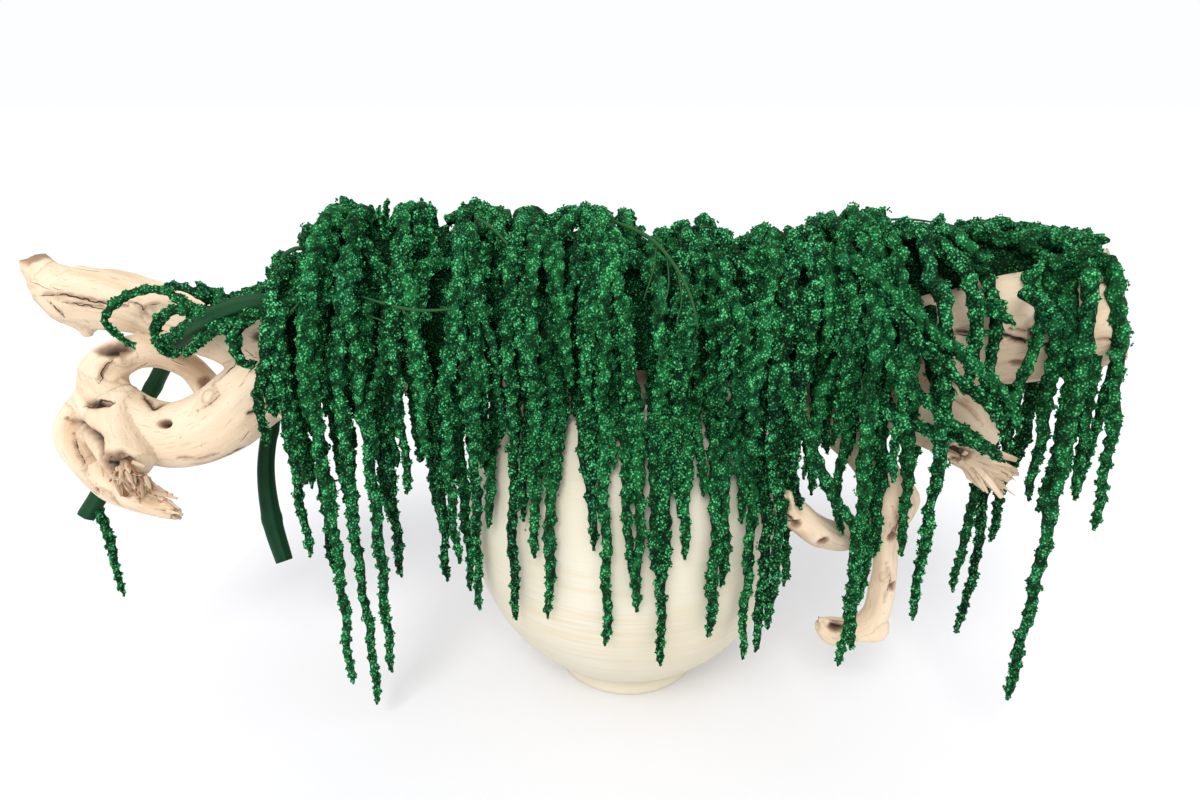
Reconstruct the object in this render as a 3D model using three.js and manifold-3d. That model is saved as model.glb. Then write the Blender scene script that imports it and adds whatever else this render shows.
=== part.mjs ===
// Preserved amaranthus draped over a length of grapewood that rests across the mouth of a stoneware vase.
// Millimetres, +Z up, +X along the wood, +Y to the back. The origin is the centre of the vase's foot.
import * as THREE from 'three';
import { mergeVertices } from 'three/addons/utils/BufferGeometryUtils.js';
import Module from 'manifold-3d';

const wasm = await Module();
wasm.setup();

// Driving dimensions of the vase
const BELLY_RADIUS = 160;
const BELLY_HEIGHT = 167;
const FOOT_RADIUS = 74;
const LIP_HEIGHT = 315.5;
const MOUTH_HEIGHT = 309;
const VASE_WALL = 8;
const VASE_SEGMENTS = 32;
const LOWER = { height: 170, power: 1.88 };
const UPPER = { height: 152, power: 2.5 };

// Clearance between pieces that touch
const GAP = 0.35;
const VASE_CLEARANCE = 4.5;
const LIMB_CLEARANCE = 4;

// The tassels: a rope with staggered knobs, and a thinner one for the curls
const TASSEL = { radius: 6.5, step: 48, sides: 5, high: 1.16, low: 0.8, neck: 0.6, taper: 0.42 };
const CURL = { radius: 5.5, step: 17 };

// How they drape: the angle from the top at which each of three layers starts, how far round the wood a
// spray reaches, the lift and spread of the layers, and the level that the whole mass rises to
const LAYER_START = [1.2, 0.75, -0.2];
const FULL_WRAP = 1.9;
const WRAP_EDGE = 0.4;
const START_SPREAD = 0.2;
const FIRST_LIFT = 13;
const SPREAD = 36;
const CREST_HEIGHT = 476;
const ROOT_DEPTH = 26;
const PATH = { step: 10, slack: 1.1, settled: 0.75, wave: 0.23, least_sway: 1, sway: 1.2, push: 2 };
const MAT = { step: 19, sides: 16, knob: 4, below_crest: 15, least: 9, full_knob: 20, spread: 20, under: 0.75 };

// Sections of the wood and of the bare stems
const THICK_LIMB = { over: 30, step: 36, sides: 10 };
const THIN_LIMB = { step: 22, sides: 8 };
const SWELL = { twofold: 0.05, threefold: 0.04 };
const SPLINTER = { bend: 0.6, sides: 5, radii: [1, 0.6, 0.15] };
const STEM = { step: 26, sides: 7, groove: 0.92 };

const COLOURS = {
  stoneware: 0xeee3c8,
  wood: 0xd9b98e,
  amaranth: 0x0f6a35,
  stem: 0x14452a,
};

// Each limb of the grapewood is a list of [x, y, z, radius] along its middle
const TRUNK = [
  [369, -122, 419, 43], [324, -100, 402, 46], [274, -75, 382, 44], [217, -50, 366, 44], [144, -25, 358, 43],
  [65, -5, 355, 42], [-10, 0, 355, 42], [-104, -5, 352, 40], [-186, -15, 350, 38], [-258, -25, 345, 38],
  [-313, -35, 338, 38],
];
const LIMBS = {
  heel: [[8, 0, 345, 40], [4, 2, 315, 42], [0, 2, 290, 38], [-3, 0, 268, 26]],
  bend: [
    [-290, -30, 341, 37], [-313, -35, 336, 38], [-344, -50, 317, 33], [-375, -60, 294, 30],
    [-410, -65, 284, 28], [-440, -65, 291, 27], [-466, -60, 305, 27], [-482, -50, 322, 22],
  ],
  arch: [
    [-474, -52, 316, 20], [-474, -42, 340, 18], [-452, -32, 352, 14.5], [-433, -22, 348, 13],
    [-416, -10, 331, 12], [-406, -4, 311, 13], [-388, -22, 298, 15], [-374, -44, 296, 17],
  ],
  snout: [[-462, -62, 303, 27], [-446, -86, 289, 22], [-427, -108, 273, 18]],
  jaw: [
    [-484, -56, 308, 18], [-497, -70, 290, 14], [-486, -79, 264, 13], [-467, -84, 241, 12.5],
    [-439, -88, 229, 10], [-405, -92, 220, 4.5],
  ],
  prong: [
    [-300, -34, 345, 34], [-330, -31, 355, 31], [-379, -20, 369, 25], [-423, -10, 381, 24],
    [-472, 0, 392, 27], [-513, 5, 395, 30], [-544, 8, 413, 16],
  ],
  branch: [
    [180, -45, 360, 36], [205, -68, 343, 35], [232, -82, 328, 32], [268, -95, 310, 29],
    [297, -105, 292, 20],
  ],
  hook: [
    [165, -35, 335, 28], [187, -70, 290, 20], [202, -85, 274, 16], [218, -95, 257, 17.5],
    [226, -100, 232, 20], [226, -100, 205, 13], [230, -98, 171, 11], [231, -96, 142, 12],
    [229, -94, 114, 11], [216, -92, 96, 11], [194, -92, 91, 12], [178, -92, 100, 7],
  ],
  twig: [
    [224, -100, 230, 15], [205, -104, 213, 13], [188, -108, 206, 13], [172, -113, 209, 13],
    [158, -120, 219, 13], [138, -128, 238, 12], [121, -130, 254, 11],
  ],
};

// Torn fibres: [root, tip, radius at the root]
const SPLINTERS = [
  [[285, -102, 296], [336, -113, 262], 7], [[287, -104, 290], [322, -118, 252], 6],
  [[284, -104, 286], [302, -117, 243], 6], [[288, -100, 298], [338, -106, 272], 5],
  [[-430, -88, 232], [-398, -97, 213], 6], [[-428, -86, 226], [-392, -90, 222], 5],
  [[182, -92, 98], [164, -94, 108], 5],
];

// Hollows rotted into the wood: [middle, half sizes]
const HOLLOWS = [
  [[-322, -74, 322], [13, 12, 10]], [[-480, -74, 346], [9, 10, 8]], [[-424, -122, 268], [13, 14, 12]],
  [[268, -126, 322], [10, 8, 9]],
];

// Bare cut stems: [x, y, z, radius], cut end first
const STEMS = {
  stem_left: [
    [-524, -44, 190, 9], [-510, -34, 212, 9], [-497, -20, 250, 9], [-474, -6, 292, 8.5],
    [-447, -40, 335, 8], [-432, -52, 345, 8], [-404, -62, 362, 8], [-383, -66, 380, 8], [-357, -70, 396, 8],
    [-333, -76, 400, 9],
  ],
  stem_back_long: [
    [-352, -18, 123, 9], [-366, 0, 160, 10], [-371, 16, 212, 10], [-362, 30, 262, 9], [-344, 36, 310, 8.5],
    [-332, 27, 350, 8.5], [-323, 2, 380, 8.5], [-318, -18, 370, 8.5],
  ],
  stem_back_short: [
    [-335, 12, 195, 7], [-337, 26, 230, 7.5], [-336, 33, 270, 7], [-329, 28, 304, 6.5], [-322, 6, 326, 6.5],
    [-318, -12, 330, 6.5],
  ],
};

// The sprays of amaranthus, left to right. Each covers the wood over its span, as far round as its wrap. Each
// front or back tassel is [x at its root, height of its tip, layer, x at its tip where that is another].
const SPRAYS = {
  spray_1: {
    span: [-306, -190],
    front: [
      [-300, 239, 0], [-292, 262, 1], [-284, 190, 2], [-280, 290, 0], [-271, 160, 1], [-262, 48, 2],
      [-262, 250, 0], [-250, 206, 1], [-243, 21, 2], [-244, 300, 0], [-232, 262, 1], [-225, 58, 2],
      [-226, 225, 0], [-214, 150, 1], [-206, 285, 0], [-197, 245, 2],
    ],
    back: [[-292, 190, 1], [-264, 130, 2], [-236, 240, 0], [-210, 200, 2]],
  },
  spray_2: {
    span: [-188, -116],
    front: [
      [-180, 185, 0], [-176, 275, 2], [-171, 142, 1], [-162, 240, 0], [-158, 172, 2], [-152, 133, 1],
      [-144, 262, 0], [-139, 122, 2], [-132, 255, 1], [-124, 215, 0],
    ],
    back: [[-176, 240, 2], [-152, 150, 0], [-128, 215, 2]],
  },
  spray_3: {
    span: [-114, -54],
    front: [
      [-106, 139, 1, -102], [-104, 275, 2], [-98, 235, 0, -94], [-87, 208, 2, -84], [-86, 292, 1],
      [-79, 255, 0], [-71, 155, 1, -72], [-62, 270, 0],
    ],
    back: [[-106, 230, 2], [-84, 180, 0], [-66, 250, 2]],
  },
  spray_4: {
    span: [-52, 8],
    front: [
      [-45, 277, 0], [-40, 290, 2], [-36, 225, 1], [-26, 137, 2, -25], [-24, 262, 0], [-16, 285, 1],
      [-7, 208, 0], [-4, 262, 2], [1, 172, 1],
    ],
    back: [[-40, 240, 1], [-12, 170, 2]],
  },
  spray_5: {
    span: [10, 58],
    front: [
      [17, 205, 0], [21, 285, 2], [26, 116, 1, 23], [36, 250, 2], [34, 275, 0], [44, 217, 1, 40],
      [51, 285, 0],
    ],
    back: [[20, 200, 2], [48, 150, 1]],
  },
  spray_6: {
    span: [60, 145],
    front: [
      [68, 137, 1, 65], [74, 290, 2], [78, 186, 0, 73], [88, 235, 1], [96, 250, 0], [98, 100, 2],
      [108, 112, 1], [116, 140, 2], [114, 262, 0], [126, 200, 1], [133, 265, 2], [137, 150, 0],
    ],
    back: [[74, 230, 2], [100, 160, 1], [124, 230, 2]],
  },
  spray_7: {
    span: [147, 206],
    front: [
      [154, 244, 1], [157, 290, 0], [164, 300, 2], [171, 225, 1, 176], [178, 285, 0, 184],
      [182, 86, 2, 189], [188, 150, 1, 198], [197, 197, 0, 208], [199, 275, 2, 208],
    ],
    back: [[156, 250, 2], [188, 190, 1]],
  },
  spray_8: {
    span: [208, 306],
    wrap: 1.2,
    front: [
      [215, 200, 1, 226], [224, 150, 2, 238], [232, 262, 0, 250], [240, 181, 1, 268], [250, 138, 2, 278],
      [260, 228, 0, 288], [268, 290, 1, 296], [288, 298, 0, 300],
    ],
    back: [[220, 210, 1], [252, 260, 0], [284, 230, 1]],
  },
  spray_9: {
    span: [312, 366],
    wrap: 0.8,
    front: [[318, 262, 0], [334, 75, 1, 330], [350, 279, 0, 346], [364, 240, 1, 366]],
    back: [[320, 230, 0], [340, 205, 1], [360, 250, 0, 380]],
  },
};

// Curled tassels laid round the left prong, and one that hangs under the cut stem, as [x, y, z] points
const CURLS = {
  curl_prong: [
    [[-344, -86, 400], [-362, -84, 406], [-380, -70, 410], [-403, -52, 414], [-424, -48, 412], [-444, -50, 403],
      [-459, -50, 386], [-450, -42, 366], [-436, -38, 352]],
    [[-362, -84, 406], [-384, -76, 402], [-401, -68, 390], [-410, -64, 374], [-398, -66, 360]],
    [[-344, -86, 400], [-330, -96, 388], [-322, -106, 370], [-310, -108, 364]],
    [[-344, -86, 400], [-340, -78, 412], [-352, -66, 416], [-370, -62, 418]],
  ],
  curl_stem: [[[-517, -38, 203], [-509, -44, 186], [-506, -45, 160], [-507, -46, 132], [-504, -48, 102]]],
};

function randomFrom(seed) {
  let state = seed >>> 0;
  return () => {
    state = (state + 0x6d2b79f5) >>> 0;
    let t = Math.imul(state ^ (state >>> 15), 1 | state);
    t = (t + Math.imul(t ^ (t >>> 7), 61 | t)) ^ t;
    return ((t ^ (t >>> 14)) >>> 0) / 4294967296;
  };
}

// A closed geometry as a solid, and a solid as a geometry
function solidOf(geometry) {
  geometry.deleteAttribute('normal');
  geometry.deleteAttribute('uv');
  const merged = mergeVertices(geometry, 1e-4);
  return new wasm.Manifold(new wasm.Mesh({
    numProp: 3,
    vertProperties: new Float32Array(merged.attributes.position.array),
    triVerts: new Uint32Array(merged.index.array),
  }));
}

function geometryOf(solid) {
  const mesh = solid.getMesh();
  const geometry = new THREE.BufferGeometry();
  geometry.setAttribute('position', new THREE.BufferAttribute(new Float32Array(mesh.vertProperties), 3));
  geometry.setIndex(new THREE.BufferAttribute(new Uint32Array(mesh.triVerts), 1));
  geometry.computeVertexNormals();
  return geometry;
}

function union(solids) {
  return wasm.Manifold.union(solids);
}

function largest(solid) {
  return solid.decompose().sort((a, b) => b.volume() - a.volume())[0];
}

// A tube along points: a cylinder whose rings are moved to the path. radiusAt(ring, side, angle) gives each
// corner's distance from the middle. The rings lie across the path, or across facing where it is given.
function tube(points, sides, radiusAt, facing) {
  const rings = points.length;
  const geometry = new THREE.CylinderGeometry(1, 1, 1, sides, rings - 1);
  const position = geometry.attributes.position;
  const tangents = points.map((p, i) => facing ?? points[Math.min(i + 1, rings - 1)].clone()
    .sub(points[Math.max(i - 1, 0)]).normalize());
  const up = Math.abs(tangents[0].x) < 0.8 ? new THREE.Vector3(1, 0, 0) : new THREE.Vector3(0, 0, 1);
  const across = up.clone();
  const normals = tangents.map((t) => across.addScaledVector(t, -across.dot(t)).normalize().clone());
  for (let v = 0; v < position.count; v += 1) {
    const ring = Math.round((0.5 - position.getY(v)) * (rings - 1));
    const reach = Math.hypot(position.getX(v), position.getZ(v));
    const angle = Math.atan2(position.getZ(v), position.getX(v));
    const side = (Math.round((angle * sides) / (2 * Math.PI)) + sides) % sides;
    const radius = reach < 0.5 ? 0 : radiusAt(ring, side, angle);
    const binormal = new THREE.Vector3().crossVectors(tangents[ring], normals[ring]);
    const p = points[ring].clone()
      .addScaledVector(normals[ring], radius * Math.cos(angle))
      .addScaledVector(binormal, radius * Math.sin(angle));
    position.setXYZ(v, p.x, p.y, p.z);
  }
  return solidOf(geometry);
}

// Evenly spaced points and radii along rows of [x, y, z, radius]
function resample(rows, step) {
  const middles = rows.map(([x, y, z]) => new THREE.Vector3(x, y, z));
  const curve = new THREE.CatmullRomCurve3(middles, false, 'centripetal');
  const parts = Math.max(2, Math.round(curve.getLength() / step));
  const points = [];
  const radius = [];
  for (let i = 0; i <= parts; i += 1) {
    const t = curve.getUtoTmapping(i / parts);
    points.push(curve.getPoint(t));
    radius.push(interpolate(rows, t));
  }
  return { points, radius };
}

function interpolate(rows, t) {
  const place = t * (rows.length - 1);
  const i = Math.min(Math.floor(place), rows.length - 2);
  return rows[i][3] + (rows[i + 1][3] - rows[i][3]) * (place - i);
}

// The vase's outer radius at a height: two superellipse quarters that meet at the belly. With clear, it is
// the radius of the surface that lies that far outside.
function vaseRadius(z, clear = 0) {
  const curve = z < BELLY_HEIGHT ? LOWER : UPPER;
  const share = Math.min(Math.abs(z - BELLY_HEIGHT) / (curve.height + clear), 1);
  return (BELLY_RADIUS + clear) * (1 - share ** curve.power) ** (1 / curve.power);
}

function vaseProfile(grow) {
  const foot = [[0, 0], [FOOT_RADIUS - 2, 0], [FOOT_RADIUS, 3], [FOOT_RADIUS - 1.5, 11]];
  const groove = [FOOT_RADIUS - 3.5, 15];
  const body = [22, 38, 62, 92, 128, 167, 204, 238, 268, 292].map((z) => [vaseRadius(z) + grow, z]);
  const lip = [[76 + grow, MOUTH_HEIGHT], [74 + grow, 314 + grow], [70, LIP_HEIGHT + grow]];
  const rim = [66 - grow, 314 + grow];
  const inner = 1 - VASE_WALL / BELLY_RADIUS;
  const inside = [294, 250, 167, 80, 30].map((z) => [vaseRadius(z) * inner - 1.5 - grow, z - grow]);
  const throat = [66 - grow, 305 - grow];
  const outline = [...foot, groove, ...body, ...lip, rim, throat, ...inside, [0, 12]];
  return outline.map(([r, z]) => new THREE.Vector2(r, z));
}

function vase(grow = 0) {
  const geometry = new THREE.LatheGeometry(vaseProfile(grow), VASE_SEGMENTS);
  geometry.rotateX(Math.PI / 2);
  return solidOf(geometry);
}

// A limb's section swells and dips in slow waves, as weathered vine wood does
function limb(rows, index, grow) {
  const { step, sides } = Math.max(...rows.map((row) => row[3])) > THICK_LIMB.over ? THICK_LIMB : THIN_LIMB;
  const { points, radius } = resample(rows, step);
  lengthen(points, grow);
  return tube(points, sides, (ring, side, angle) => radius[ring] * (1
    + SWELL.twofold * Math.sin(2 * angle + ring * 0.9 + index * 1.7)
    + SWELL.threefold * Math.sin(3 * angle - ring * 1.3 + index * 2.9)) + grow);
}

function lengthen(points, grow) {
  const last = points.length - 1;
  const ends = [[points[0], points[1]], [points[last], points[last - 1]]];
  ends.forEach(([end, next]) => end.add(end.clone().sub(next).normalize().multiplyScalar(grow)));
}

function splinter([root, tip, radius], grow) {
  const start = new THREE.Vector3(...root);
  const end = new THREE.Vector3(...tip);
  const middle = start.clone().lerp(end, SPLINTER.bend);
  return tube([start, middle, end], SPLINTER.sides, (ring) => radius * SPLINTER.radii[ring] + grow);
}

function hollow([middle, half]) {
  const geometry = new THREE.IcosahedronGeometry(1, 1);
  geometry.scale(...half);
  geometry.translate(...middle);
  return solidOf(geometry);
}

function grapewood(grow = 0) {
  const limbs = [TRUNK, ...Object.values(LIMBS)].map((rows, index) => limb(rows, index, grow));
  const whole = union([...limbs, ...SPLINTERS.map((row) => splinter(row, grow))]);
  return grow > 0 ? whole : whole.subtract(union(HOLLOWS.map(hollow)));
}

// The wood's middle and radius at an x along the trunk
function trunkAt(x) {
  const last = TRUNK.length - 1;
  if (x >= TRUNK[0][0]) return TRUNK[0].slice(1);
  if (x <= TRUNK[last][0]) return TRUNK[last].slice(1);
  const i = TRUNK.findIndex((row) => row[0] <= x) - 1;
  const share = (TRUNK[i][0] - x) / (TRUNK[i][0] - TRUNK[i + 1][0]);
  return [1, 2, 3].map((k) => TRUNK[i][k] + (TRUNK[i + 1][k] - TRUNK[i][k]) * share);
}

// A point over the trunk, at an angle from its top towards the front. The layers lie closest to the trunk at
// its sides, and on top they reach up to the level crest of the mass.
function overTrunk(x, angle, layer) {
  const [y, z, r] = trunkAt(x);
  const lift = FIRST_LIFT + (Math.max(CREST_HEIGHT - z - r, FIRST_LIFT) - FIRST_LIFT) * (layer / 2);
  const spread = FIRST_LIFT + SPREAD * (layer / 2);
  return new THREE.Vector3(x, y - (r + spread) * Math.sin(angle), z + (r + lift) * Math.cos(angle));
}

function nearLimb(point, rows, clear) {
  for (let i = 0; i < rows.length - 1; i += 1) {
    const a = new THREE.Vector3(...rows[i]);
    const b = new THREE.Vector3(...rows[i + 1]);
    const along = b.clone().sub(a);
    const share = THREE.MathUtils.clamp(point.clone().sub(a).dot(along) / along.lengthSq(), 0, 1);
    const radius = rows[i][3] + (rows[i + 1][3] - rows[i][3]) * share;
    if (a.addScaledVector(along, share).distanceTo(point) < radius + clear) return true;
  }
  return false;
}

const OBSTACLES = [LIMBS.branch, LIMBS.hook, LIMBS.twig];

// A tassel's path, finely stepped: out of the mat over the wood, then straight down, pushed out by the vase
// and by the lower branches, and never back in again below them
function drapePath([x, tip, layer, to = x], wrap, turn, random) {
  const start = turn * (Math.min(LAYER_START[layer], wrap - WRAP_EDGE) + START_SPREAD * random());
  const wave = random() * 2 * Math.PI;
  const sway = PATH.least_sway + PATH.sway * random();
  const end = turn * Math.PI / 2;
  const root = overTrunk(x, start, layer);
  const side = overTrunk(x, end, layer);
  const arc = Math.round((root.distanceTo(side) * PATH.slack) / PATH.step);
  const falls = Math.round((side.z - tip) / PATH.step);
  const [y, z] = trunkAt(x);
  const points = [root.add(new THREE.Vector3(0, y - root.y, z - root.z).setLength(ROOT_DEPTH))];
  let push = 0;
  for (let i = 0; i <= arc + falls; i += 1) {
    const easing = THREE.MathUtils.smoothstep(i / (arc + falls), 0, PATH.settled);
    const point = overTrunk(x + (to - x) * easing, start + (end - start) * Math.min(i / arc, 1), layer);
    if (i > arc) point.z -= ((point.z - tip) * (i - arc)) / falls;
    point.x += sway * Math.sin(wave + i * PATH.wave);
    if (i > arc / 2) {
      point.y -= turn * push;
      push += clearance(point, turn);
    }
    points.push(point);
  }
  return points;
}

// How far a point is moved out, along Y, to lie outside the vase and clear of the lower branches
function clearance(point, turn) {
  const before = point.y;
  const reach = vaseRadius(point.z, TASSEL.radius + VASE_CLEARANCE);
  if (Math.hypot(point.x, point.y) < reach) {
    point.y = -turn * Math.sqrt(Math.max(reach ** 2 - point.x ** 2, point.y ** 2));
  }
  while (OBSTACLES.some((rows) => nearLimb(point, rows, TASSEL.radius + LIMB_CLEARANCE))) {
    point.y -= turn * PATH.push;
  }
  return (before - point.y) * turn;
}

// Evenly spaced points along a finely stepped path
function spaced(path, step) {
  const length = path.slice(1).reduce((sum, p, i) => sum + p.distanceTo(path[i]), 0);
  const parts = Math.max(2, Math.round(length / step));
  const points = [path[0]];
  let walked = 0;
  for (let i = 1; i < path.length; i += 1) {
    walked += path[i].distanceTo(path[i - 1]);
    if (walked >= (points.length * length) / parts - 1e-6) points.push(path[i]);
  }
  return points;
}

// Tight clusters of florets stand out of a tassel as knobs, staggered from ring to ring
function tassel(points, radius) {
  const last = points.length - 1;
  return tube(points, TASSEL.sides, (ring, side) => {
    const taper = ring === 0 ? TASSEL.neck : 1 - TASSEL.taper * (ring / last) ** 2;
    return radius * taper * ((ring + side) % 2 ? TASSEL.high : TASSEL.low);
  });
}

// The matted tops of a spray's tassels, knobbly all over, lying over the wood as far round as the wrap
function mat([from, to], wrap, random) {
  const count = Math.round((to - from) / MAT.step);
  const points = [];
  for (let i = 0; i <= count; i += 1) {
    const x = from + ((to - from) * i) / count;
    const [y, z] = trunkAt(x);
    points.push(new THREE.Vector3(x, y, z));
  }
  const knobs = points.map(() => Array.from({ length: MAT.sides }, () => MAT.knob * (0.5 + random())));
  return tube(points, MAT.sides, (ring, side, angle) => {
    const [, z, r] = trunkAt(points[ring].x);
    if (Math.abs(angle) > wrap) return r * MAT.under;
    const thick = Math.max(CREST_HEIGHT - MAT.below_crest - z - r, MAT.least);
    const knob = knobs[ring][side] * ((ring + side) % 2 ? 1 : -1) * Math.min(thick / MAT.full_knob, 1);
    const wide = r + (MAT.spread * wrap) / FULL_WRAP;
    return knob + 1 / Math.hypot(Math.cos(angle) / (r + thick), Math.sin(angle) / wide);
  }, new THREE.Vector3(1, 0, 0));
}

function spray({ span, wrap = FULL_WRAP, front, back }, seed, woodCutter) {
  const random = randomFrom(seed);
  const drape = (rows, turn) => rows
    .map((row) => tassel(spaced(drapePath(row, wrap, turn, random), TASSEL.step), TASSEL.radius));
  const tassels = [...drape(front, 1), ...drape(back, -1)];
  return largest(union([mat(span, wrap, random), ...tassels]).subtract(woodCutter));
}

function stem(rows, grow = 0) {
  const { points, radius } = resample(rows, STEM.step);
  lengthen(points, grow);
  return tube(points, STEM.sides, (ring, side) => radius[ring] * (side % 2 ? 1 : STEM.groove) + grow);
}

function curl(paths, cutters) {
  const pieces = paths.map((path) => {
    const rows = path.map((p) => [...p, 0]);
    return tassel(resample(rows, CURL.step).points, CURL.radius);
  });
  return largest(cutters.reduce((solid, cutter) => solid.subtract(cutter), union(pieces)));
}

function named(name, solid, colour, roughness) {
  const material = new THREE.MeshStandardMaterial({ color: colour, roughness, metalness: 0 });
  const mesh = new THREE.Mesh(geometryOf(solid), material);
  mesh.name = name;
  return mesh;
}

const group = new THREE.Group();
const woodCutter = grapewood(GAP);
const stemCutter = stem(STEMS.stem_left, GAP);

group.add(named('vase', vase(), COLOURS.stoneware, 0.75));
group.add(named('grapewood', largest(grapewood().subtract(vase(GAP))), COLOURS.wood, 0.85));
Object.entries(SPRAYS).forEach(([name, rows], index) => {
  group.add(named(name, spray(rows, 101 + index, woodCutter), COLOURS.amaranth, 0.9));
});
Object.entries(STEMS).forEach(([name, rows]) => {
  group.add(named(name, largest(stem(rows).subtract(woodCutter)), COLOURS.stem, 0.6));
});
Object.entries(CURLS).forEach(([name, paths]) => {
  group.add(named(name, curl(paths, [woodCutter, stemCutter]), COLOURS.amaranth, 0.9));
});

export default group;
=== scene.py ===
import math

import bpy
import numpy as np
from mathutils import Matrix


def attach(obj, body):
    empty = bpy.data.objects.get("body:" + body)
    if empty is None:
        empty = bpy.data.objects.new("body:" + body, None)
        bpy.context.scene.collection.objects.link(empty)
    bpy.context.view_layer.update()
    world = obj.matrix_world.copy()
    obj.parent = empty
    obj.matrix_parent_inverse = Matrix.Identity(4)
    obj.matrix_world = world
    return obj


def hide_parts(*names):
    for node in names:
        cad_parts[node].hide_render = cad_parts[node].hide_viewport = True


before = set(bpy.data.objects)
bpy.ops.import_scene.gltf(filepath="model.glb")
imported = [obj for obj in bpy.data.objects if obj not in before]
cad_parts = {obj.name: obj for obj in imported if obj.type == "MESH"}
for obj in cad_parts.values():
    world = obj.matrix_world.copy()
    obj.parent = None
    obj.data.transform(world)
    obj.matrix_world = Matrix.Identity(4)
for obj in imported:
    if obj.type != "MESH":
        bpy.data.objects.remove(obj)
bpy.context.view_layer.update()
MM = 0.001

# The vase's profile
BELLY_RADIUS = 160
BELLY_HEIGHT = 167
FOOT_RADIUS = 74
LIP_HEIGHT = 315.5
MOUTH_HEIGHT = 309
LOWER = {"height": 170, "power": 1.88}
UPPER = {"height": 152, "power": 2.5}

# How the tassels drape over the wood and clear the vase and the lower branches
TASSEL_RADIUS = 6.5
VASE_CLEARANCE = 4.5
LIMB_CLEARANCE = 4
LAYER_START = [1.2, 0.75, -0.2]
FULL_WRAP = 1.9
WRAP_EDGE = 0.4
START_SPREAD = 0.2
FIRST_LIFT = 13
SPREAD = 36
ROOT_DEPTH = 26
PATH_STEP = 10
SLACK = 1.1
SETTLED = 0.75
WAVE = 0.23
PUSH = 2
FIRST_SEED = 101

# The mass's top edge along the wood, as (x, z), and how far the tassels' middles lie below it
CREST = [
    (-330, 425), (-296, 450), (-257, 480), (-188, 482), (-119, 476), (-68, 475), (1, 473), (19, 454),
    (55, 475), (88, 461), (140, 465), (183, 481), (310, 481), (359, 470), (392, 386),
]
CREST_INSET = 9

# The log's end is cut at a slant, so that its front falls away from here on
SLANT = {"from": 304, "rate": 0.62, "mat_end": 336, "lean": -10, "lean_to": 356}
# Where the tassels that lie along the ridge stop
MASS_ENDS = (-292, 350)

# Each limb of the grapewood is a list of (x, y, z, radius) along its middle
TRUNK = [
    (369, -122, 419, 43), (324, -100, 402, 46), (274, -75, 382, 44), (217, -50, 366, 44),
    (144, -25, 358, 43), (65, -5, 355, 42), (-10, 0, 355, 42), (-104, -5, 352, 40),
    (-186, -15, 350, 38), (-258, -25, 345, 38), (-313, -35, 338, 38),
]
LIMBS = {
    "heel": [(8, 0, 345, 40), (4, 2, 315, 42), (0, 2, 290, 38), (-3, 0, 268, 26)],
    "bend": [
        (-290, -30, 341, 37), (-313, -35, 336, 38), (-344, -50, 317, 33), (-375, -60, 294, 30),
        (-410, -65, 284, 28), (-440, -65, 291, 27), (-466, -60, 305, 27), (-482, -50, 322, 22),
    ],
    "arch": [
        (-474, -52, 316, 20), (-474, -42, 340, 18), (-452, -32, 352, 14.5), (-433, -22, 348, 13),
        (-416, -10, 331, 12), (-406, -4, 311, 13), (-388, -22, 298, 15), (-374, -44, 296, 17),
    ],
    "snout": [(-462, -62, 303, 27), (-446, -86, 289, 22), (-427, -108, 273, 18)],
    "jaw": [
        (-484, -56, 308, 18), (-497, -70, 290, 14), (-486, -79, 264, 13), (-467, -84, 241, 12.5),
        (-439, -88, 229, 10), (-405, -92, 220, 4.5),
    ],
    "prong": [
        (-300, -34, 345, 34), (-330, -31, 355, 31), (-379, -20, 369, 25), (-423, -10, 381, 24),
        (-472, 0, 392, 27), (-513, 5, 395, 30), (-544, 8, 413, 16),
    ],
    "branch": [
        (180, -45, 360, 36), (205, -68, 343, 35), (232, -82, 328, 32), (268, -95, 310, 29),
        (297, -105, 292, 20),
    ],
    "hook": [
        (165, -35, 335, 28), (187, -70, 290, 20), (202, -85, 274, 16), (218, -95, 257, 17.5),
        (226, -100, 232, 20), (226, -100, 205, 13), (230, -98, 171, 11), (231, -96, 142, 12),
        (229, -94, 114, 11), (216, -92, 96, 11), (194, -92, 91, 12), (178, -92, 100, 7),
    ],
    "twig": [
        (224, -100, 230, 15), (205, -104, 213, 13), (188, -108, 206, 13), (172, -113, 209, 13),
        (158, -120, 219, 13), (138, -128, 238, 12), (121, -130, 254, 11),
    ],
}

# Bare cut stems as (x, y, z, radius), cut end first. The left one passes behind the loop's arch.
STEMS = {
    "stem_left": [
        (-524, -44, 190, 9), (-510, -34, 212, 9), (-495, -16, 252, 9), (-469, 10, 297, 8.5),
        (-456, 12, 317, 8), (-440, 4, 337, 8), (-413, -32, 355, 8), (-389, -60, 374, 8.5),
        (-364, -78, 391, 9), (-339, -84, 403, 9), (-319, -84, 409, 9), (-296, -76, 410, 8),
        (-276, -44, 400, 7),
    ],
    "stem_back_long": [
        (-352, -18, 123, 9), (-366, 0, 160, 10), (-371, 16, 212, 10), (-362, 30, 262, 9),
        (-344, 36, 310, 8.5), (-332, 27, 350, 8.5), (-323, 2, 380, 8.5), (-318, -18, 370, 8.5),
    ],
    "stem_back_short": [
        (-335, 12, 195, 7), (-337, 26, 230, 7.5), (-336, 33, 270, 7), (-329, 28, 304, 6.5),
        (-322, 6, 326, 6.5), (-318, -12, 330, 6.5),
    ],
}

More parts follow.
